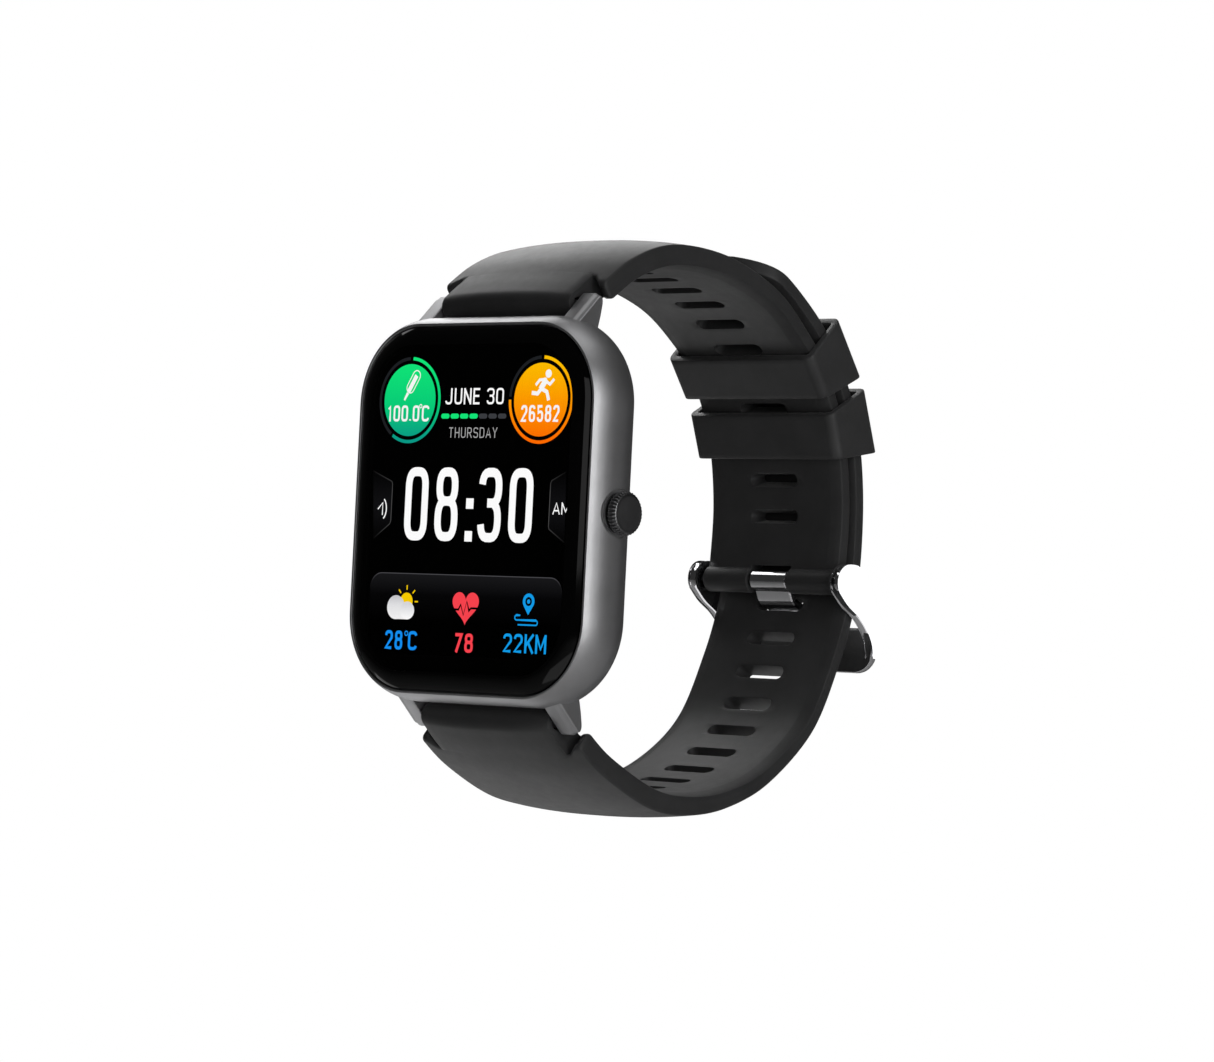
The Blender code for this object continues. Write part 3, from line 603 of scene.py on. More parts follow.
# ---------------------------------------------------------------- strap


def section_points(half, edge, dome, chamfer, rise):
    """(x, out) points round a strap: domed outside, rounded edges, chamfered inner edges."""
    fillet = min(EDGE_FILLET, edge * 0.3)
    right = []
    for i in range(1, 13):
        u = math.sin(math.pi / 2 * i / 12)
        x = (half - fillet) * u
        right.append((x, edge + dome * (1 - (x / half) ** 2.4)))
    top = right[-1][1]
    for i in range(1, 5):
        angle = math.pi / 2 * (1 - i / 4)
        right.append((half - fillet + fillet * math.cos(angle), top - fillet + fillet * math.sin(angle)))
    low = -edge + rise
    for share in (0.33, 0.66, 1.0):
        right.append((half, top - fillet + (low + 0.12 - top + fillet) * share))
    right += [(half - 0.05, low + 0.02), (half - 0.17, low - 0.05)]
    for share in (0.5, 0.92):
        right.append((half - 0.17 - (chamfer - 0.17) * share, low - 0.05 - (rise - 0.05) * share))
    right.append((half - chamfer - 0.1, -edge))
    for share in (0.85, 0.55, 0.25):
        right.append(((half - chamfer - 0.1) * share, -edge))
    left = [(-x, out) for x, out in reversed(right)]
    return [(0.0, edge + dome), *right, (0.0, -edge), *left]


def ring_at(path, along, side, points, lead=None):
    """A section's points in space; lead(x) moves each point on along the path."""
    ring = []
    for x, out in points:
        reach = along + (lead(x) if lead else 0.0)
        ring.append(beside(smooth_station(path, max(reach, 0.0), side), x, min(reach, 0.0), out))
    return ring


def full_points(along, thin=1.0, pinch=0.0):
    half = tapered((HALF_WIDE, HALF_NARROW), along) - pinch
    edge = tapered(EDGE_THICK, along) * thin
    chamfer = tapered((2.3, 1.7), along)
    return section_points(half, edge, tapered(CROWN_THICK, along) * thin, chamfer, 0.42 * thin)


def notch_lead(fade):
    """How far the shoulders' ends stand back next to the lugs."""
    def lead(x):
        share = min(max((12.5 - abs(x)) / 1.5, 0.0), 1.0)
        return 1.2 * share * share * (3 - 2 * share) * fade
    return lead


def squeezed(points, thin=1.0):
    """A full section narrowed to the part between the lugs, with the same outer surface."""
    top = max(out for x, out in points if abs(x) >= INSERT_HALF)
    narrow = []
    for x, out in points:
        held = min(max(x, -INSERT_HALF), INSERT_HALF)
        narrow.append((held, (min(out, top) if abs(x) > INSERT_HALF else out) * thin))
    return narrow


def strap_rings(path, side, stop, step=0.7):
    """Rings from the rolled end at the bar, past the shoulders, to a distance along the path."""
    rings = []
    for i in range(10):
        angle = math.pi / 2 * (1 - i / 10)
        points = squeezed(full_points(0.0), max(0.06, math.cos(angle) ** 0.75))
        rings.append(ring_at(path, -1.5 * math.sin(angle), side, points))
    for i in range(9):
        along = INSERT_LENGTH * i / 8
        rings.append(ring_at(path, along, side, squeezed(full_points(along))))
    for i in range(6):
        angle = math.pi / 2 * i / 5
        along = SHOULDER_START + SHOULDER_ROUND * (1 - math.cos(angle))
        points = full_points(along, 1.0, 0.3 * (1 - math.sin(angle)))
        points = softened(points, 0.55 + 0.45 * math.sin(angle))
        rings.append(ring_at(path, along, side, points, notch_lead(1.0)))
    start = SHOULDER_START + SHOULDER_ROUND
    count = round((stop - start) / step)
    for i in range(1, count + 1):
        along = start + (stop - start) * i / count
        fade = max(0.0, 1 - (along - start) / 5.0)
        rings.append(ring_at(path, along, side, full_points(along), notch_lead(fade * fade)))
    return rings


def softened(points, thin):
    """A section thinned towards its middle height outside the part between the lugs only."""
    made = []
    for x, out in points:
        share = min(max((abs(x) - INSERT_HALF) / 1.2, 0.0), 1.0)
        made.append((x, out * (1 + (thin - 1) * share)))
    return made


def slot_cutter(path, along, side, draft):
    """A round-ended slot through a strap that narrows by the draft towards the outer face."""
    spot = station(path, along, side)
    straight = (SLOT_LENGTH - SLOT_WIDTH) / 2
    rings = []
    widths = (SLOT_WIDTH + 0.7, SLOT_WIDTH, SLOT_WIDTH - draft, SLOT_WIDTH - draft)
    for out, width in zip((-3.0, -1.0, 1.3, 3.2), widths):
        ring = []
        for i in range(24):
            angle = math.tau * (i + 0.5) / 24
            x = math.copysign(straight, math.cos(angle)) + width / 2 * math.cos(angle)
            ring.append(beside(spot, x, width / 2 * math.sin(angle), out))
        rings.append(ring)
    return loft("slot_cutter", rings)


def joined(objects):
    """Several separate helpers as one mesh."""
    bm = bmesh.new()
    for obj in objects:
        bm.from_mesh(obj.data)
        bpy.data.objects.remove(obj, do_unlink=True)
    return add_object("joined_cutter", bm, None)


def merged(obj):
    """Joins points that lie on one another and drops the faces that have no area."""
    bm = bmesh.new()
    bm.from_mesh(obj.data)
    bmesh.ops.remove_doubles(bm, verts=bm.verts, dist=1e-6)
    bmesh.ops.dissolve_degenerate(bm, edges=bm.edges, dist=1e-6)
    bmesh.ops.recalc_face_normals(bm, faces=bm.faces)
    bm.to_mesh(obj.data)
    bm.free()
    return obj


def finish_strap(strap, cutters, bar_z):
    """Cuts the slots, the bar tunnel and the lever window, and rounds the cut edges."""
    tunnel = through_hole("bar_tunnel", BAR_TUNNEL, BAR_DEPTH, bar_z)
    lever_window = block((-9.6, BAR_DEPTH - 0.2, bar_z - 0.8), (-5.0, BAR_DEPTH + 3.0, bar_z + 0.8))
    carve(strap, [joined([*cutters, lever_window]), tunnel])
    bevelled(strap, 0.09, 2, 50)


def block(low, high):
    """A box between two corners given as (x, depth, z), to cut with."""
    bm = bmesh.new()
    first, last = at(*low), at(*high)
    bmesh.ops.create_cube(bm, size=1.0)
    bmesh.ops.scale(bm, verts=bm.verts, vec=last - first)
    bmesh.ops.translate(bm, verts=bm.verts, vec=(first + last) / 2)
    return add_object("block", bm, None)


def through_hole(name, radius, depth, z):
    """A round bar across the whole width of the strap, to cut a hole with."""
    return turned_x(name, ((-14.0, radius), (14.0, radius)), depth, z, 24)


def pin_hole():
    """The bore through everything that turns on the buckle's pin."""
    return through_hole("pin_hole", PIN_BORE, *BUCKLE_BAR)


def make_upper_strap():
    strap = merged(loft("upper_strap_skin", strap_rings(UPPER_PATH, 1, UPPER_LENGTH - 0.4), M_STRAP))
    roll = turned_x(
        "buckle_roll",
        ((-HALF_NARROW, ROLL_END), (0.3 - HALF_NARROW, ROLL_RADIUS), (HALF_NARROW - 0.3, ROLL_RADIUS),
         (HALF_NARROW, ROLL_END)), *BUCKLE_BAR, 40,
    )
    carve(strap, [roll], "UNION")
    carve(strap, [pin_hole()])
    depth, z = BUCKLE_BAR
    notch = block((-NOTCH_HALF, depth - 4, z - 3), (NOTCH_HALF, depth + 4, z + 1.9))
    first = UPPER_LENGTH - FIRST_SLOT
    slots = [slot_cutter(UPPER_PATH, first - SLOT_PITCH * i, 1, SLOT_DRAFT) for i in range(UPPER_SLOTS)]
    finish_strap(strap, [*slots, notch], BAR_HEIGHT)
    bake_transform(strap)
    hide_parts("upper_strap", "upper_strap_end")


def tongue_station():
    step = math.dist(LOWER_PATH[0], LOWER_PATH[1])
    for i, ((depth, z), (_, next_z)) in enumerate(zip(LOWER_PATH, LOWER_PATH[1:])):
        if depth > 50 and next_z > TONGUE_SLOT_Z:
            return (i + (TONGUE_SLOT_Z - z) / (next_z - z)) * step
    return 0.0


def make_lower_strap():
    tip_start = LOWER_LENGTH - TIP_LENGTH
    rings = strap_rings(LOWER_PATH, -1, tip_start)
    for i in range(1, 13):
        share = math.sin(math.pi / 2 * i / 12) * 0.998
        half = 1.5 + (HALF_NARROW - 1.5) * math.sqrt(1 - share * share)
        thin = 0.35 + 0.65 * min(1.0, (1 - share) / 0.12) ** 0.5
        points = section_points(half, 1.0 * thin, 0.3 * thin, min(1.7, half * 0.5), 0.42 * thin)
        rings.append(ring_at(LOWER_PATH, tip_start + 5.97 * share, -1, points))
    strap = merged(loft("lower_strap_skin", rings, M_STRAP))
    slots = [
        slot_cutter(LOWER_PATH, tongue_station() + SLOT_PITCH * i, -1, SLOT_DRAFT if i else 0.0)
        for i in range(-SLOTS_BEFORE_TONGUE, 1)
    ]
    finish_strap(strap, slots, -BAR_HEIGHT)
    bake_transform(strap)
    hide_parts("lower_strap", "lower_strap_end")


def make_keeper(index, from_end):
    """A soft loop round both layers, with rounded corners and softened rims."""
    spot = station(UPPER_PATH, UPPER_LENGTH - from_end)
    low = -(EDGE_THICK[1] + KEEPER_CLEAR)
    high = LAYER_GAP + 3 * EDGE_THICK[1] + 2 * CROWN_THICK[1] + KEEPER_CLEAR
    half = HALF_NARROW + 0.15
    run = KEEPER_LENGTH / 2

    def ring(grow, along, radius):
        made = []
        for x, out in loop_points(half + grow, low - grow, high + grow, radius):
            made.append(beside(spot, x, along * (1 + KEEPER_FLARE / run * (out - low) / (high - low)), out))
        return made

    wall, soft = KEEPER_WALL, KEEPER_SOFTENING
    rim = ((0.0, soft, 0.35), (soft * 0.4, soft * 0.25, 0.4), (soft, 0.0, 0.5), (wall - soft, 0.0, 1.25),
           (wall - soft * 0.3, soft * 0.3, 1.32), (wall, soft, 1.35))
    flat = run - soft
    rings = [ring(grow, run - back, radius) for grow, back, radius in rim]
    rings += [ring(wall, flat - 2 * flat * i / 10, 1.35) for i in range(1, 10)]
    rings += [ring(grow, back - run, radius) for grow, back, radius in reversed(rim)]
    rings += [ring(0.0, 2 * flat * i / 6 - flat, 0.35) for i in range(1, 6)]
    keeper = loft(f"keeper_{index}_skin", rings, M_KEEPER_PAINTED_LIGHTER, loop=True, angle=50)
    fitted(keeper, f"keeper_{index}", "silicone", f"keeper_{index}")


def loop_points(half_x, low, high, radius):
    points = []
    corners = ((1, high), (-1, high), (-1, low), (1, low))
    for quarter, (sign, edge) in enumerate(corners):
        middle = edge - radius if edge == high else edge + radius
        for i in range(10):
            angle = math.pi / 2 * (quarter + i / 9)
            points.append((
                sign * (half_x - radius) + radius * math.cos(angle), middle + radius * math.sin(angle)
            ))
    return points


# ---------------------------------------------------------------- case


def make_case():
    """One closed skin: glass pocket, front lip, barrel side, rear edge and inner wall."""
    steps = [(1.25, -1.3), (1.25, -POCKET_WALL), (0.08, -POCKET_WALL), (0.0, -POCKET_WALL + 0.07),
             (0.0, -0.08), (0.03, -0.02)]
    count = 22
    for i in range(1, count + 1):
        depth = 0.06 + (METAL_DEPTH - 0.12) * i / count
        steps.append((depth, barrel_offset(depth)))
    rear = barrel_offset(METAL_DEPTH)
    steps += [(METAL_DEPTH, rear - 0.1), (METAL_DEPTH, -2.0), (METAL_DEPTH - 0.05, -2.1), (5.0, -2.1),
              (1.5, -2.1), (1.3, -1.9)]
    rings = [rounded_rectangle(*grown(offset), depth) for depth, offset in steps]
    case = loft("case_skin", rings, M_METAL, loop=True, angle=28)
    seat_radius = CROWN_RADIUS + 0.3
    seat = turned_x("crown_seat", ((20.1, seat_radius), (23.0, seat_radius)), CROWN_DEPTH, 0.0, 64)
    hole = turned_x("crown_hole", ((15.0, 1.7), (23.0, 1.7)), CROWN_DEPTH, 0.0, 32)
    carve(case, [seat, hole])
    smooth(case, 28)
    fitted(case, "case", "gunmetal", "mid_case")
    for sign_z, row in ((1, "top"), (-1, "bottom")):
        for sign_x, side in ((1, "right"), (-1, "left")):
            make_lug(f"lug_{row}_{side}", sign_x, sign_z)


LUG_OUTLINE = (
    (1.6, 21.7), (3.2, 23.25), (5.9, 25.9), (6.25, 26.15), (6.6, 26.2), (6.95, 26.05), (7.2, 25.75),
    (7.32, 25.3), (7.3, 24.8), (7.05, 23.4), (6.7, 22.0), (6.2, 20.6), (3.5, 20.3),
)


def inset(outline, distance):
    """An outline moved inwards by a distance."""
    moved = []
    count = len(outline)
    for i in range(count):
        before, here, after = outline[i - 1], outline[i], outline[(i + 1) % count]
        ax, az = here[0] - before[0], here[1] - before[1]
        bx, bz = after[0] - here[0], after[1] - here[1]
        a, b = math.hypot(ax, az), math.hypot(bx, bz)
        nx, nz = az / a + bz / b, -(ax / a + bx / b)
        size = math.hypot(nx, nz)
        reach = distance / size / max(0.5, size / 2)
        moved.append((here[0] + nx * reach, here[1] + nz * reach))
    return moved


def make_lug(name, sign_x, sign_z):
    """A lug with a broad front facet, a narrow chamfer and a flat outer side."""
    layers = ((11.0, 0.10), (11.1, 0.0), (12.7, 0.0), (12.84, 0.04), (13.15, 0.22), (13.25, 0.27),
              (13.6, 0.36), (13.7, 0.46))
    rings = []
    for x, amount in layers:
        outline = inset(LUG_OUTLINE, amount)
        rings.append([at(sign_x * x, depth, sign_z * z) for depth, z in outline])
    lug = loft(name, rings, M_METAL, angle=24)
    bore = ((sign_x * 10.0, LUG_BORE), (sign_x * 12.9, LUG_BORE))
    carve(lug, [turned_x("lug_bore", bore, BAR_DEPTH, sign_z * BAR_HEIGHT, 20)])
    smooth(lug, 24)
    fitted(lug, "case", "gunmetal")


def make_glass():
    """Cover glass: a black rounded rim round a clear flat middle, with the display's face behind it."""
    edge = -(POCKET_WALL + 0.2)
    inner = edge - GLASS_ROUND
    rings = []
    for i in range(15):
        share = i / 14
        depth = GLASS_FRONT * (1 - share**2.0)
        rings.append(rounded_rectangle(*grown(edge + GLASS_ROUND * (share - 1)), depth, 32))
    for offset, depth in ((edge, 0.06), (edge, 0.8), (inner, 0.8)):
        rings.append(rounded_rectangle(*grown(offset), depth, 32))
    rim = loft("glass_rim_skin", rings, M_GLASS, loop=True, angle=40)
    fitted(rim, "case", "glass", "cover_glass")
    pane = loft("glass_pane", [rounded_rectangle(*grown(inner), GLASS_FRONT, 32)], M_PANE)
    face_front(pane)
    fitted(pane, "case", "glass", "cover_glass")
    deck = [rounded_rectangle(*grown(inner - 0.02), depth, 32) for depth in (0.02, 0.6)]
    fitted(loft("display_face", deck, M_DECK), "case", "display")


def face_front(obj):
    """Turns an open flat sheet to the front of the watch."""
    bm = bmesh.new()
    bm.from_mesh(obj.data)
    turn_to_front(bm.faces)
    bm.to_mesh(obj.data)
    bm.free()


def make_crown():
    """Knurled cap with a bright chamfer and a slightly dished face."""
    per_tooth = 8
    sides = CROWN_TEETH * per_tooth
    wave = (1.0, 1.0, 0.85, 0.15, 0.0, 0.0, 0.15, 0.85)
    steps = (
        (CROWN_BASE, 2.2, 0.0), (CROWN_BASE + 0.04, CROWN_ROOT, 0.1), (CROWN_BASE + 0.14, CROWN_ROOT, 1.0),
        (CROWN_FACE - 0.38, CROWN_ROOT, 1.0), (CROWN_FACE - 0.32, 2.34, 0.9), (CROWN_FACE - 0.1, 2.3, 0.25),
        (CROWN_FACE - 0.03, 2.24, 0.0), (CROWN_FACE, 2.16, 0.0), (CROWN_FACE, 1.9, 0.0),
        (CROWN_FACE - 0.02, 1.2, 0.0), (CROWN_FACE - 0.04, 0.4, 0.0),
    )
    rings = []
    for x, root, tooth in steps:
        ring = []
        for i in range(sides):
            radius = root + (CROWN_RADIUS - CROWN_ROOT) * wave[i % per_tooth] * tooth
            angle = math.tau * i / sides
            ring.append(at(x, CROWN_DEPTH + radius * math.cos(angle), radius * math.sin(angle)))
        rings.append(ring)
    cap = loft("crown_skin", rings, M_CROWN, angle=30)
    fitted(cap, "crown", "gunmetal", "crown_cap")


def make_back():
    """Rear cover with a softened rim, and the domed sensor window."""
    steps = ((7.4, -0.6), (8.12, -0.6), (8.15, -0.45), (8.2, -0.05), (8.26, 0.0), (8.7, -0.05), (8.95, -0.2),
             (9.12, -0.5), (9.24, -0.85), (9.3, -1.3), (9.3, -3.0))
    half_x, half_z = COVER_HALF
    rings = [
        rounded_rectangle(half_x + offset, half_z + offset, COVER_CORNER + offset, depth, 20)
        for depth, offset in steps
    ]
    cover = loft("rear_cover_skin", rings, M_BACK)
    cutters = [plug(9.0, 8.3, 11.0), plug(7.6, 7.0, 9.0)]
    for sign_x, sign_z in ((1, 1), (1, -1), (-1, 1), (-1, -1)):
        place = (sign_x * SCREW_PLACE[0], sign_z * SCREW_PLACE[1])
        cutters += [plug(0.75, 6.0, 11.0, 24, *place), plug(1.3, 8.35, 11.0, 32, *place)]
    contact_x, contact_z = CONTACT_PLACE
    cutters += [plug(0.95, 6.0, 11.0, 24, x, contact_z) for x in (-contact_x, contact_x)]
    carve(cover, cutters)
    bevelled(cover, 0.08, 2, 50)
    fitted(cover, "case", "black_plastic", "rear_cover")
    profile = ((8.6, 8.7), (9.42, 8.7), (9.5, 8.66), (9.62, 8.58), (9.9, 8.38), (10.15, 8.1), (10.35, 7.7),
               (10.5, 7.2), (10.58, 6.7), (10.6, 6.3), (10.6, 3.0))
    window = loft("sensor_window_skin", [circle(radius, depth, 96) for depth, radius in profile], M_WINDOW)
    fitted(window, "case", "glass", "sensor_window")
    ring = loft("sensor_ring", [circle(r, 10.605, 96) for r in (4.6, 4.9)], M_STEEL, caps=False)
    fitted(ring, "case", "steel")


# ---------------------------------------------------------------- buckle


def arm_outline():
    """Side view of a buckle arm: a round head on the pin and a blade that sweeps out to the plate."""
    head = arc(*BUCKLE_BAR, HEAD_RADIUS, 215, 90, 9)
    outer = (head[-1], (57.4, -3.85), (58.5, -4.45), (59.6, -6.0), (60.6, -7.9), (61.75, -10.1),
             (62.65, -12.2), (62.7, -13.6), (62.3, -14.9))
    inner = ((61.6, -14.9), (61.3, -13.4), (60.2, -11.6), (58.4, -9.9), (56.1, -8.5), head[0])
    return [*head[:-1], *smooth_path(outer, 0.7), *smooth_path(inner, 0.7)[:-1]]


def make_arm(name, sign):
    """One arm of the buckle with softened rims."""
    x0, x1 = sorted((sign * ARM_INNER, sign * ARM_OUTER))
    soft, rim = ARM_SOFTENING, ARM_SOFTENING * 0.3
    layers = ((x0, soft), (x0 + rim, rim), (x0 + soft, 0.0), (x1 - soft, 0.0), (x1 - rim, rim), (x1, soft))
    rings = [[at(x, depth, z) for depth, z in inset(arm_outline(), -amount)] for x, amount in layers]
    return loft(name, rings, M_CHROME)


def make_buckle():
    arms = make_arm("buckle_frame_skin", 1)
    carve(arms, [make_arm("left_arm", -1)], "UNION")
    bore = turned_x("arm_bore", ((-12.2, PIN_BORE), (12.2, PIN_BORE)), *BUCKLE_BAR, 24)
    carve(arms, [bore])
    smooth(arms, 30)
    fitted(arms, "buckle", "chrome", "buckle_frame")
    fitted(make_buckle_plate(), "buckle", "chrome", "buckle_frame")
    profile = ((-12.15, 0.65), (-12.05, PIN_RADIUS), (12.05, PIN_RADIUS), (12.15, 0.65))
    pin = turned_x("buckle_pin_skin", profile, *BUCKLE_BAR, 32, M_STEEL)
    fitted(pin, "strap_loop", "steel", "buckle_pin")


def make_buckle_plate():
    """The wide plate that joins the arms behind the strap: satin inside, polished rim and back."""
    profile = ((60.35, -11.7), (61.05, -13.3), (61.45, -15.2), (61.5, -17.0), (61.62, -17.12),
               (62.4, -17.12), (62.52, -17.0), (62.6, -15.2), (62.3, -13.2), (61.3, -11.4), (60.5, -11.5))
    half = ARM_OUTER - 0.02
    rings = []
    for i in range(61):
        x = -half + 2 * half * i / 60
        corner = max(0.0, abs(x) - (half - PLATE_CORNER)) / PLATE_CORNER
        lift = 3.0 * (1 - math.sqrt(max(0.0, 1 - corner * corner)))
        ring = []
        for depth, z in profile:
            share = min(max((-12.6 - z) / 4.5, 0.0), 1.0)
            ring.append(at(x, depth - 0.2 * share * corner * lift, z + lift * share))
        rings.append(ring)
    plate = loft("buckle_plate_skin", rings, M_CHROME, angle=40)
    plate.data.materials.append(M_SATIN)
    for face in plate.data.polygons:
        if face.normal.y < -0.8:
            face.material_index = 1
    return plate


def make_tongue():
    """A barrel rolled on the pin, and a flat shank that goes through the strap and rests on the plate."""
    barrel = ((-3.0, 1.2), (-2.85, 1.35), (2.85, 1.35), (3.0, 1.2))
    tongue = turned_x("buckle_tongue_skin", barrel, *BUCKLE_BAR, 48, M_CHROME)
    (depth, z), _, normal = station(LOWER_PATH, tongue_station(), -1)
    through = (depth, z)
    past = (depth + normal[0] * 1.9, z + normal[1] * 1.9)
    route = ((56.3, -7.0), (57.0, -8.3), through, past, (61.9, -10.6), (63.35, -12.6), (63.6, -14.6))
    path = smooth_path(route, 0.5)
    rings = []
    last = len(path) - 1
    for i in range(len(path)):
        spot = station(path, i * math.dist(path[0], path[1]))
        left = (last - i) / 5
        half = 2.9 if left >= 1 else 1.3 + 1.6 * math.sqrt(max(0.0, 1 - (1 - left) ** 2))
        section = ((-half + 0.15, -0.5), (half - 0.15, -0.5), (half, -0.35), (half, 0.35),
                   (half - 0.15, 0.5), (-half + 0.15, 0.5), (-half, 0.35), (-half, -0.35))
        rings.append([beside(spot, x, 0.0, out) for x, out in section])
    carve(tongue, [loft("tongue_shank", rings)], "UNION")
    carve(tongue, [pin_hole()])
    smooth(tongue, 30)
    fitted(tongue, "tongue", "chrome", "buckle_tongue")


# ---------------------------------------------------------------- display


def flat_shape(name, outlines, material, layer, holes=()):
    """Flat filled outlines of (x, z) points just in front of the display's face, with holes."""
    bm = bmesh.new()
    edges = []
    for outline in (*outlines, *holes):
        verts = [bm.verts.new(at(x, -LAYER_STEP * layer, z)) for x, z in outline]
        for a, b in zip(verts, verts[1:] + verts[:1]):
            edges.append(bm.edges.new((a, b)))
    bmesh.ops.triangle_fill(bm, edges=edges, use_beauty=True, normal=(0, -1, 0))
    turn_to_front(bm.faces)
    flat_object(name, bm, material)


def turn_to_front(faces):
    """Turns faces that look back into the watch round to its front."""
    for face in faces:
        if face.normal.y > 0:
            face.normal_flip()


def flat_object(name, bm, material):
    mesh = bpy.data.meshes.new(name)
    bm.to_mesh(mesh)
    bm.free()
    obj = bpy.data.objects.new(name, mesh)
    bpy.context.scene.collection.objects.link(obj)
    mesh.materials.append(material)
    fitted(obj, "case", "display")


def ribbon(name, lines, width, material, layer, closed=False):
    """Flat strokes of one width along lines of (x, z) points, mitred at their corners."""
    bm = bmesh.new()
    for line in lines:
        add_stroke(bm, line, width, layer, closed)
    flat_object(name, bm, material)


def add_stroke(bm, line, width, layer, closed=False):
    if math.dist(line[0], line[-1]) < 1e-6:
        line, closed = line[:-1], True
    count = len(line)
    sides = []
    for i, (x, z) in enumerate(line):
        before = line[i - 1] if i or closed else None
        after = line[(i + 1) % count] if i < count - 1 or closed else None
        nx, nz = mitre(before, (x, z), after)
        sides.append([
            bm.verts.new(at(x + side * nx * width / 2, -LAYER_STEP * layer, z + side * nz * width / 2))
            for side in (1, -1)
        ])
    pairs = list(zip(sides, sides[1:]))
    if closed:
        pairs.append((sides[-1], sides[0]))
    for (a, b), (c, d) in pairs:
        face = bm.faces.new((a, b, d, c))
        face.normal_update()
        turn_to_front([face])


def mitre(before, here, after):
    """Sideways direction at a point of a stroke, lengthened so that both edges stay parallel."""
    normals = []
    for a, b in ((before, here), (here, after)):
        if a and b:
            size = math.dist(a, b) or 1.0
            normals.append((-(b[1] - a[1]) / size, (b[0] - a[0]) / size))
    nx, nz = (sum(n[k] for n in normals) / len(normals) for k in (0, 1))
    stretch = 1 / max(nx * nx + nz * nz, 0.3)
    return nx * stretch, nz * stretch


def bow(x, z, radius_x, radius_z, start, stop, count=16):
    """Points on an oval with flattened sides, from one angle to another in degrees."""
    points = []
    for i in range(count + 1):
        angle = math.radians(start + (stop - start) * i / count)
        c, s = math.cos(angle), math.sin(angle)
        points.append((
            x + radius_x * math.copysign(abs(c) ** 0.62, c), z + radius_z * math.copysign(abs(s) ** 0.85, s),
        ))
    return points


def glyph_strokes():
    """Centre lines of the condensed lettering, in a box one wide and one high."""
    upper, lower = (0.5, 0.75, 0.5, 0.25), (0.5, 0.25, 0.5, 0.25)
    return {
        "0": [[*bow(0.5, 0.76, 0.5, 0.24, 0, 180), *bow(0.5, 0.24, 0.5, 0.24, 180, 360), (1.0, 0.76)]],
        "1": [[(0.0, 0.80), (0.62, 1.0), (0.62, 0.0)]],
        "2": [[*bow(0.5, 0.74, 0.5, 0.26, 175, -25), (0.0, 0.0), (1.0, 0.0)]],
        "3": [[*bow(0.5, 0.76, 0.5, 0.24, 170, -60), (0.62, 0.53), *bow(0.5, 0.26, 0.5, 0.26, 60, -170)],
              [(0.34, 0.53), (0.7, 0.53)]],
        "5": [[(0.95, 1.0), (0.06, 1.0), (0.03, 0.5), *bow(0.5, 0.31, 0.5, 0.31, 125, -170)]],
        "6": [[*bow(0.5, 0.76, 0.5, 0.24, 10, 180), (0.0, 0.3)], bow(0.5, 0.28, 0.5, 0.28, 0, 360, 28)],
        "7": [[(0.0, 1.0), (1.0, 1.0), (0.3, 0.0)]],
        "8": [bow(0.5, 0.775, 0.46, 0.225, 0, 360, 28), bow(0.5, 0.275, 0.5, 0.275, 0, 360, 28)],
        "A": [[(0.0, 0.0), (0.5, 1.0), (1.0, 0.0)], [(0.2, 0.28), (0.8, 0.28)]],
        "C": [[*bow(0.5, 0.74, 0.5, 0.26, 15, 180), *bow(0.5, 0.26, 0.5, 0.26, 180, 345)]],
        "D": [[(0.0, 0.0), (0.0, 1.0), *bow(0.4, 0.7, 0.6, 0.3, 90, 0), *bow(0.4, 0.3, 0.6, 0.3, 0, -90),
               (0.0, 0.0)]],
        "E": [[(0.95, 1.0), (0.0, 1.0), (0.0, 0.0), (0.95, 0.0)], [(0.0, 0.52), (0.85, 0.52)]],
        "H": [[(0.0, 0.0), (0.0, 1.0)], [(1.0, 0.0), (1.0, 1.0)], [(0.0, 0.5), (1.0, 0.5)]],
        "J": [[(0.9, 1.0), (0.9, 0.27), *bow(0.45, 0.27, 0.45, 0.27, 0, -165)]],
        "K": [[(0.0, 0.0), (0.0, 1.0)], [(0.98, 1.0), (0.06, 0.40)], [(0.34, 0.60), (1.0, 0.0)]],
        "M": [[(0.0, 0.0), (0.0, 1.0)], [(0.04, 0.97), (0.5, 0.2), (0.96, 0.97)], [(1.0, 1.0), (1.0, 0.0)]],
        "N": [[(0.0, 0.0), (0.0, 1.0)], [(0.04, 0.97), (0.96, 0.03)], [(1.0, 0.0), (1.0, 1.0)]],
        "R": [[(0.0, 0.0), (0.0, 1.0), *bow(0.45, 0.74, 0.5, 0.26, 90, -90), (0.0, 0.48)],
              [(0.5, 0.48), (1.0, 0.0)]],
        "S": [[*bow(*upper, 15, 250), *bow(*lower, 70, -165)]],
        "T": [[(0.0, 1.0), (1.0, 1.0)], [(0.5, 1.0), (0.5, 0.0)]],
        "U": [[(0.0, 1.0), *bow(0.5, 0.27, 0.5, 0.27, 180, 360), (1.0, 1.0)]],
        "Y": [[(0.0, 1.0), (0.5, 0.45), (1.0, 1.0)], [(0.5, 0.45), (0.5, 0.0)]],
        ".": [[(0.5, -0.02), (0.5, 0.08)]],
        " ": [],
    }


GLYPHS = glyph_strokes()
GLYPH_WIDTHS = {"1": 0.55, "M": 1.3, ".": 0.0, " ": 0.15, "A": 1.1}


def squared_ends(line, foot, head, reach):
    """Runs a steep stroke that stops at the foot or the head of its letter on by the reach."""
    made = list(line)
    for end, inner in ((0, 1), (-1, -2)):
        (x, z), (inner_x, inner_z) = line[end], line[inner]
        if min(abs(z - foot), abs(z - head)) < 1e-4 and abs(z - inner_z) > abs(x - inner_x):
            share = reach / abs(z - inner_z)
            made[end] = (x + (x - inner_x) * share, z + (z - inner_z) * share)
    return made


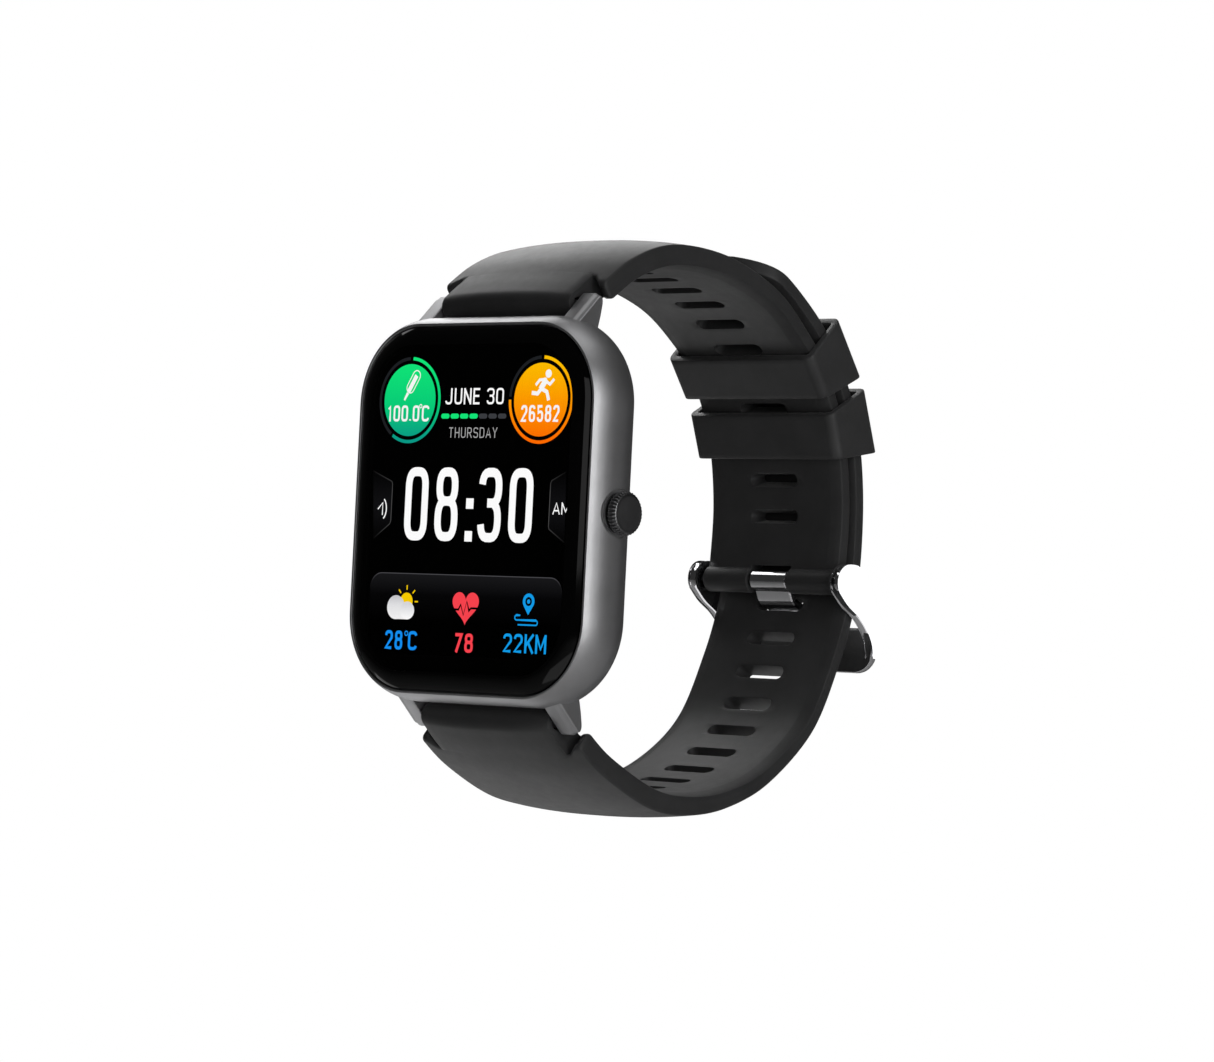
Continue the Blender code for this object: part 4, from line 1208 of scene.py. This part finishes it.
def words(name, text, left, right, top, bottom, material, layer, weight, gap=1.9):
    """Lettering fitted to a box: stroke weight in millimetres, and gap in stroke weights between letters."""
    widths = [GLYPH_WIDTHS.get(letter, 1.0) for letter in text]
    unit = (right - left - weight - gap * weight * (len(text) - 1)) / sum(widths)
    start = left + weight / 2
    foot, head = bottom + weight / 2, top - weight / 2
    bm = bmesh.new()
    for letter, width in zip(text, widths):
        for stroke in GLYPHS[letter]:
            line = []
            for x, z in stroke:
                point = (start + x * unit * width, foot + z * (top - bottom - weight))
                if not line or math.dist(line[-1], point) > 1e-4:
                    line.append(point)
            add_stroke(bm, squared_ends(line, foot, head, weight / 2), weight, layer)
        start += unit * width + gap * weight
    flat_object(name, bm, material)


def stadium(x0, x1, z0, z1, count=16):
    radius = (x1 - x0) / 2
    middle = (x0 + x1) / 2
    return [*arc(middle, z1 - radius, radius, 0, 180, count),
            *arc(middle, z0 + radius, radius, 180, 360, count)]


def make_digits(white):
    words("hours", "08", -10.85, -1.85, 4.95, -3.9, white, 1, 1.08, 2.15)
    words("minutes", "30", 1.5, 10.45, 4.95, -3.9, white, 1, 1.08, 2.15)
    squares = [[(-0.52, z), (0.72, z), (0.72, z - 1.25), (-0.52, z - 1.25)] for z in (1.28, -2.62)]
    flat_shape("colon", squares, white, 1)


def degree_sign(name, x, z, radius, weight, material):
    ribbon(name, [arc(x, z, radius, 0, 345, 14)], weight, material, 2, True)


def make_rings(white):
    dark = plain_lit("ring_dark", "1d1f22")
    green = lit("disc_green", ((0.0, "0a9a86"), (0.45, "08cf78"), (1.0, "10e878")), 8.3, 17.8)
    orange = lit("disc_orange", ((0.0, "ff6a00"), (0.5, "ff9a00"), (1.0, "ffc000")), 8.3, 17.8)
    z, radius = 13.04, 5.02
    for name, x, color, stop in (("left", -10.92, green, -122), ("right", 10.92, orange, -180)):
        flat_shape(f"disc_{name}", [arc(x, z, 4.36, 0, 354, 59)], color, 1)
        ribbon(f"ring_{name}", [arc(x, z, radius, 87, stop, 60)], 0.4, color, 1)
        ribbon(f"ring_rest_{name}", [arc(x, z, radius, stop - 4, -268, 30)], 0.4, dark, 1)
    words("temperature", "100.0", -14.6, -9.2, 12.4, 10.45, white, 2, 0.29)
    words("temperature_unit", "C", -8.75, -7.5, 12.4, 10.45, white, 2, 0.29)
    degree_sign("temperature_degree", -9.0, 12.3, 0.2, 0.11, white)
    words("steps", "26582", 7.8, 14.05, 12.4, 10.4, white, 2, 0.31)
    make_runner(white)
    make_thermometer(white)


def make_runner(white):
    flat_shape("runner_head", [arc(12.0, 16.1, 0.5, 0, 345, 20)], white, 2)
    limbs = (
        (0.75, (11.7, 15.45), (11.2, 14.8), (10.8, 14.25)),
        (0.36, (11.75, 15.45), (10.6, 15.35), (10.0, 14.75)),
        (0.36, (11.6, 15.2), (12.3, 14.85), (12.95, 15.45)),
        (0.48, (10.9, 14.35), (11.85, 13.95), (12.2, 12.95)),
        (0.48, (10.9, 14.3), (10.35, 13.75), (9.4, 13.85)),
    )
    for index, (width, *line) in enumerate(limbs):
        ribbon(f"runner_{index}", [line], width, white, 2)


def make_thermometer(white):
    tilt = math.radians(-33)
    c, s = math.cos(tilt), math.sin(tilt)

    def tilted(points):
        return [(-10.75 + x * c - z * s, 14.75 + x * s + z * c) for x, z in points]

    ribbon("thermometer_case", [tilted(stadium(-0.62, 0.62, -0.9, 2.1, 10))], 0.12, white, 2, True)
    core = tilted(((-0.3, -0.9), (0.3, -0.9), (0.3, 1.5), (-0.3, 1.5)))
    flat_shape("thermometer_core", [core], white, 2)
    tip = tilted(((-0.2, -1.0), (0.2, -1.0), (0.13, -2.05), (-0.13, -2.05)))
    flat_shape("thermometer_tip", [tip], white, 2)


def make_date(white):
    green = plain_lit("dash_green", "12e878")
    off = plain_lit("dash_grey", "3a3c40")
    pale = plain_lit("text_grey", "a6a6a6")
    words("date", "JUNE 30", -4.9, 4.85, 14.45, 12.5, white, 1, 0.25, 2.2)
    words("weekday", "THURSDAY", -4.05, 4.05, 9.75, 8.5, pale, 1, 0.13, 3.0)
    for i in range(7):
        x = -5.45 + 1.58 * i
        dash = [*arc(x + 1.1, 11.1, 0.3, -90, 90, 8), *arc(x + 0.3, 11.1, 0.3, 90, 270, 8)]
        flat_shape(f"dash_{i}", [dash], green if i < 4 else off, 1)


def make_tabs(white):
    line = lit("tab_line", ((0.0, "050505"), (0.3, "4a4a4a"), (0.7, "4a4a4a"), (1.0, "050505")), -3.8, 4.6)
    fill = lit("tab_fill", ((0.0, "020202"), (0.5, "101012"), (1.0, "020202")), -3.8, 4.6)
    left = [(-16.6, 4.45), (-13.3, 3.2), (-13.15, 2.9), (-13.15, -1.6), (-13.3, -1.95), (-16.0, -3.76)]
    right = [(15.64, 4.57), (13.35, 3.5), (13.2, 3.15), (13.2, -1.9), (13.3, -2.2), (15.89, -3.74)]
    ribbon("tab_line_left", [left], 0.12, line, 2)
    ribbon("tab_line_right", [right], 0.12, line, 2)
    flat_shape("tab_fill_left", [left], fill, 1)
    flat_shape("tab_fill_right", [right], fill, 1)
    link = [[(-15.45, -0.2), (-14.65, 0.6), (-14.65, -0.9)], arc(-14.9, -0.15, 0.9, -60, 60, 10, 1.35)]
    ribbon("link_icon", link, 0.17, white, 3)
    words("half_day", "AM", 13.75, 16.5, 0.98, -0.45, white, 3, 0.17, 2.4)


def make_panel():
    """The lower card with its weather, pulse and distance readings."""
    card = lit("card", ((0.0, "000000"), (0.55, "050506"), (1.0, "18181a")), -13.5, -7.9)
    edge = lit("card_edge", ((0.0, "000000"), (0.55, "1a1a1c"), (1.0, "4c4c50")), -10.2, -7.9)
    left, right, high, corner = -16.1, 15.9, -7.9, 1.9
    top = [*arc(right - corner, high - corner, corner, 0, 90, 10),
           *arc(left + corner, high - corner, corner, 90, 180, 10)]
    flat_shape("card", [[*top, (left, -17.6), (right, -17.6)]], card, 1)
    ribbon("card_edge", [top], 0.1, edge, 2)
    make_weather()
    make_heart()
    make_map_pin()


def make_weather():
    sun = plain_lit("sun", "ffd200")
    cloud = lit("cloud", ((0.0, "f4f4f4"), (0.6, "e2e2e4"), (1.0, "c4c4c8")), -13.4, -10.6)
    cloud_front = lit("cloud_front", ((0.0, "ffffff"), (1.0, "d8d8dc")), -13.4, -11.6)
    sun_x, sun_z = -9.75, -11.25
    flat_shape("sun", [arc(sun_x, sun_z, 1.05, 0, 350, 30)], sun, 2)
    for i in range(4):
        angle = math.radians(45 * i)
        line = [(sun_x + r * math.cos(angle), sun_z + r * math.sin(angle)) for r in (1.4, 1.95)]
        ribbon(f"sun_ray_{i}", [line], 0.18, sun, 2)
    flat_shape("cloud_back", [arc(-11.5, -12.0, 1.5, 0, 350, 36, 1.45)], cloud, 3)
    flat_shape("cloud_base", [[(-11.6, -13.42), (-9.5, -13.42), (-9.5, -12.2), (-11.6, -12.2)]], cloud, 3)
    flat_shape("cloud_front", [arc(-9.55, -12.35, 1.2, 0, 350, 30, 1.08)], cloud_front, 4)
    blue = plain_lit("text_blue", "1592f8")
    words("outdoor", "28", -13.1, -10.1, -14.8, -17.1, blue, 2, 0.38)
    words("outdoor_unit", "C", -9.15, -7.6, -14.8, -17.1, blue, 2, 0.38)
    degree_sign("outdoor_degree", -9.5, -15.1, 0.26, 0.14, blue)


def make_heart():
    red = plain_lit("heart_red", "ff4550")
    black = plain_lit("heart_line", "000000")
    points = []
    for i in range(48):
        t = math.tau * i / 48
        rise = 13 * math.cos(t) - 5 * math.cos(2 * t) - 2 * math.cos(3 * t) - math.cos(4 * t)
        points.append((0.25 + 2.2 * math.sin(t) ** 3, -11.55 + 0.137 * rise))
    flat_shape("heart", [points], red, 2)
    pulse = [(-2.1, -12.0), (-0.9, -12.0), (-0.55, -11.4), (-0.05, -12.65), (0.45, -11.0), (0.85, -12.1),
             (1.2, -11.8), (2.6, -11.8)]
    ribbon("pulse", [pulse], 0.25, black, 3)
    words("pulse_rate", "78", -1.4, 1.8, -14.8, -17.1, red, 2, 0.4)


def make_map_pin():
    blue = plain_lit("pin_blue", "12a0f0")
    head = (10.6, -10.75)
    shape = [*arc(*head, 0.95, -25, 205, 24), (10.6, -12.35)]
    flat_shape("pin", [shape], blue, 2, [arc(*head, 0.54, 0, 350, 20)])
    flat_shape("pin_dot", [arc(*head, 0.26, 0, 345, 16)], blue, 2)
    route = [(9.35, -12.4), (8.75, -12.4), *arc(8.75, -12.68, 0.28, 90, 270, 8), (11.9, -12.96),
             *arc(11.9, -13.24, 0.28, 90, -90, 8), (9.0, -13.52)]
    ribbon("route", [route], 0.17, blue, 2)
    words("distance", "22KM", 6.75, 13.8, -14.6, -16.85, blue, 2, 0.34)


def make_display():
    white = plain_lit("text_white", "ffffff")
    make_digits(white)
    make_rings(white)
    make_date(white)
    make_tabs(white)
    make_panel()


# ---------------------------------------------------------------- small CAD nodes


def refined(node, material, body, slot):
    """A CAD node's shape with merged points, softened edges and smooth shading."""
    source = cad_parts[node]
    bm = bmesh.new()
    bm.from_mesh(source.data)
    bmesh.ops.remove_doubles(bm, verts=bm.verts, dist=2e-6)
    bmesh.ops.dissolve_limit(bm, angle_limit=math.radians(1.5), verts=bm.verts, edges=bm.edges)
    skin = bevelled(add_object(f"{node}_skin", bm, material), 0.04, 2, 45)
    fitted(skin, body, slot, node)


REFINED_NODES = (
    (M_STEEL, "case", "steel", ("case_screw_top_left", "case_screw_top_right")),
    (M_STEEL, "case", "steel", ("case_screw_bottom_left", "case_screw_bottom_right")),
    (M_GOLD, "case", "gold", ("charge_contact_1", "charge_contact_2")),
    (M_STEEL, "strap_top_end", "steel", ("top_bar_tube",)),
    (M_STEEL, "top_release", "steel", ("top_bar_tip",)),
    (M_STEEL, "strap_bottom_end", "steel", ("bottom_bar_tube",)),
    (M_STEEL, "bottom_release", "steel", ("bottom_bar_tip",)),
    (M_CROWN, "case", "steel", ("crown_tube",)),
    (M_STEEL, "crown", "steel", ("crown_stem",)),
)
INNER_NODES = (
    (M_RUBBER, ("glass_gasket", "rear_gasket", "crown_oring")),
    (M_GLASS, ("display_panel",)),
    (M_PLASTIC, ("inner_frame", "speaker", "encoder_wheel", "encoder_sensor", "crown_switch", "photodiode")),
    (M_BOARD, ("main_board", "sensor_board")),
    (M_FOIL, ("shield_can", "battery")),
    (M_STEEL, ("vibration_motor", "crown_clip", "switch_plunger", "charge_magnet_1", "charge_magnet_2")),
    (M_LED, ("sensor_led_1", "sensor_led_2")),
)


def finish_nodes():
    for material, body, slot, nodes in REFINED_NODES:
        for node in nodes:
            refined(node, material, body, slot)
    for material, nodes in INNER_NODES:
        for node in nodes:
            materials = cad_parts[node].data.materials
            materials.clear()
            materials.append(material)


# ---------------------------------------------------------------- camera, light and floor


def make_camera():
    data = bpy.data.cameras.new("camera")
    camera = bpy.data.objects.new("camera", data)
    bpy.context.scene.collection.objects.link(camera)
    data.lens, data.sensor_width = CAMERA_LENS, CAMERA_SENSOR
    data.clip_start, data.clip_end = 0.01, 50.0
    yaw, pitch, roll = (math.radians(v) for v in (CAMERA_YAW, CAMERA_PITCH, CAMERA_ROLL))
    back = Vector((math.sin(yaw) * math.cos(pitch), -math.cos(yaw) * math.cos(pitch), math.sin(pitch)))
    right = Vector((math.cos(yaw), math.sin(yaw), 0.0))
    up = right.cross(-back)
    turned_right = right * math.cos(roll) + up * math.sin(roll)
    turned_up = up * math.cos(roll) - right * math.sin(roll)
    matrix = Matrix((turned_right, turned_up, back)).transposed().to_4x4()
    matrix.translation = Vector(CAMERA_PLACE)
    camera.matrix_world = matrix
    bpy.context.scene.camera = camera


def make_world():
    """A pale backdrop for the camera, and a dim even studio for reflections."""
    world = bpy.data.worlds.new("studio")
    bpy.context.scene.world = world
    world.use_nodes = True
    tree = world.node_tree
    tree.nodes.clear()
    output = tree.nodes.new("ShaderNodeOutputWorld")
    mix = tree.nodes.new("ShaderNodeMixShader")
    path = tree.nodes.new("ShaderNodeLightPath")
    tree.links.new(path.outputs["Is Camera Ray"], mix.inputs["Fac"])
    for socket, strength in ((1, 0.03), (2, 1.0)):
        background = tree.nodes.new("ShaderNodeBackground")
        background.inputs["Color"].default_value = (1.0, 1.0, 1.0, 1.0)
        background.inputs["Strength"].default_value = strength
        tree.links.new(background.outputs["Background"], mix.inputs[socket])
    tree.links.new(mix.outputs["Shader"], output.inputs["Surface"])


def soft_light(name, place_at, size, power, target=(0.0, 0.015, 0.0)):
    data = bpy.data.lights.new(name, "AREA")
    data.shape = "RECTANGLE"
    data.size, data.size_y = size
    data.energy = power
    light = bpy.data.objects.new(name, data)
    bpy.context.scene.collection.objects.link(light)
    light.location = place_at
    direction = Vector(target) - Vector(place_at)
    light.rotation_euler = direction.to_track_quat("-Z", "Y").to_euler()
    light.visible_camera = False


def make_lights():
    """Soft boxes round the watch, named after their place or after what they pick out."""
    soft_light("right_front", (0.97, -0.24, 0.03), (0.35, 1.0), 4.0)
    soft_light("front", (0.62, -0.85, 0.25), (0.5, 0.5), 1.0)
    soft_light("right_back", (0.749, 0.93, 0.01), (0.11, 0.11), 0.055, (0.0127, 0.048, -0.01))
    soft_light("left_top_back", (-0.66, 0.45, 0.62), (0.8, 0.6), 0.4)
    soft_light("strap_top", (-0.085, 0.074, 0.098), (0.07, 0.05), 0.045, (0.0, 0.012, 0.034))
    soft_light("left_below", (-0.30, 0.12, -0.28), (0.35, 0.25), 0.22, (0.0, 0.015, -0.01))
    soft_light("barrel", (-0.102, 0.015, 0.10), (0.05, 0.05), 0.012, (0.0, 0.045, -0.006))
    soft_light("above", (0.15, 0.05, 1.0), (0.7, 0.7), 1.6)
    soft_light("below_front", (0.05, -0.25, -0.28), (0.3, 0.2), 0.15)


def make_floor():
    """A pale floor with a faint glow of its own that lights nothing else."""
    bm = bmesh.new()
    bmesh.ops.create_grid(bm, x_segments=1, y_segments=1, size=1.5)
    bmesh.ops.translate(bm, verts=bm.verts, vec=(0, 0, FLOOR_HEIGHT))
    m = Nodes("floor", Roughness=0.6, Emission_Color=(1.0, 1.0, 1.0, 1.0))
    m.link(m.span(m.node("LightPath").outputs["Is Camera Ray"], 0.0, 0.5), "Emission Strength")
    m.mottle(m.noise(3.0), (0.80, 0.80, 0.80), (0.86, 0.86, 0.86))
    add_object("floor", bm, m.material)


make_case()
make_glass()
make_crown()
make_back()
make_upper_strap()
make_lower_strap()
for number, distance in enumerate(KEEPER_STATIONS, start=1):
    make_keeper(number, distance)
make_buckle()
make_tongue()
make_display()
finish_nodes()
make_camera()
make_world()
make_lights()
make_floor()
bpy.context.scene.view_settings.view_transform = "Standard"
bpy.context.scene.view_settings.look = "None"
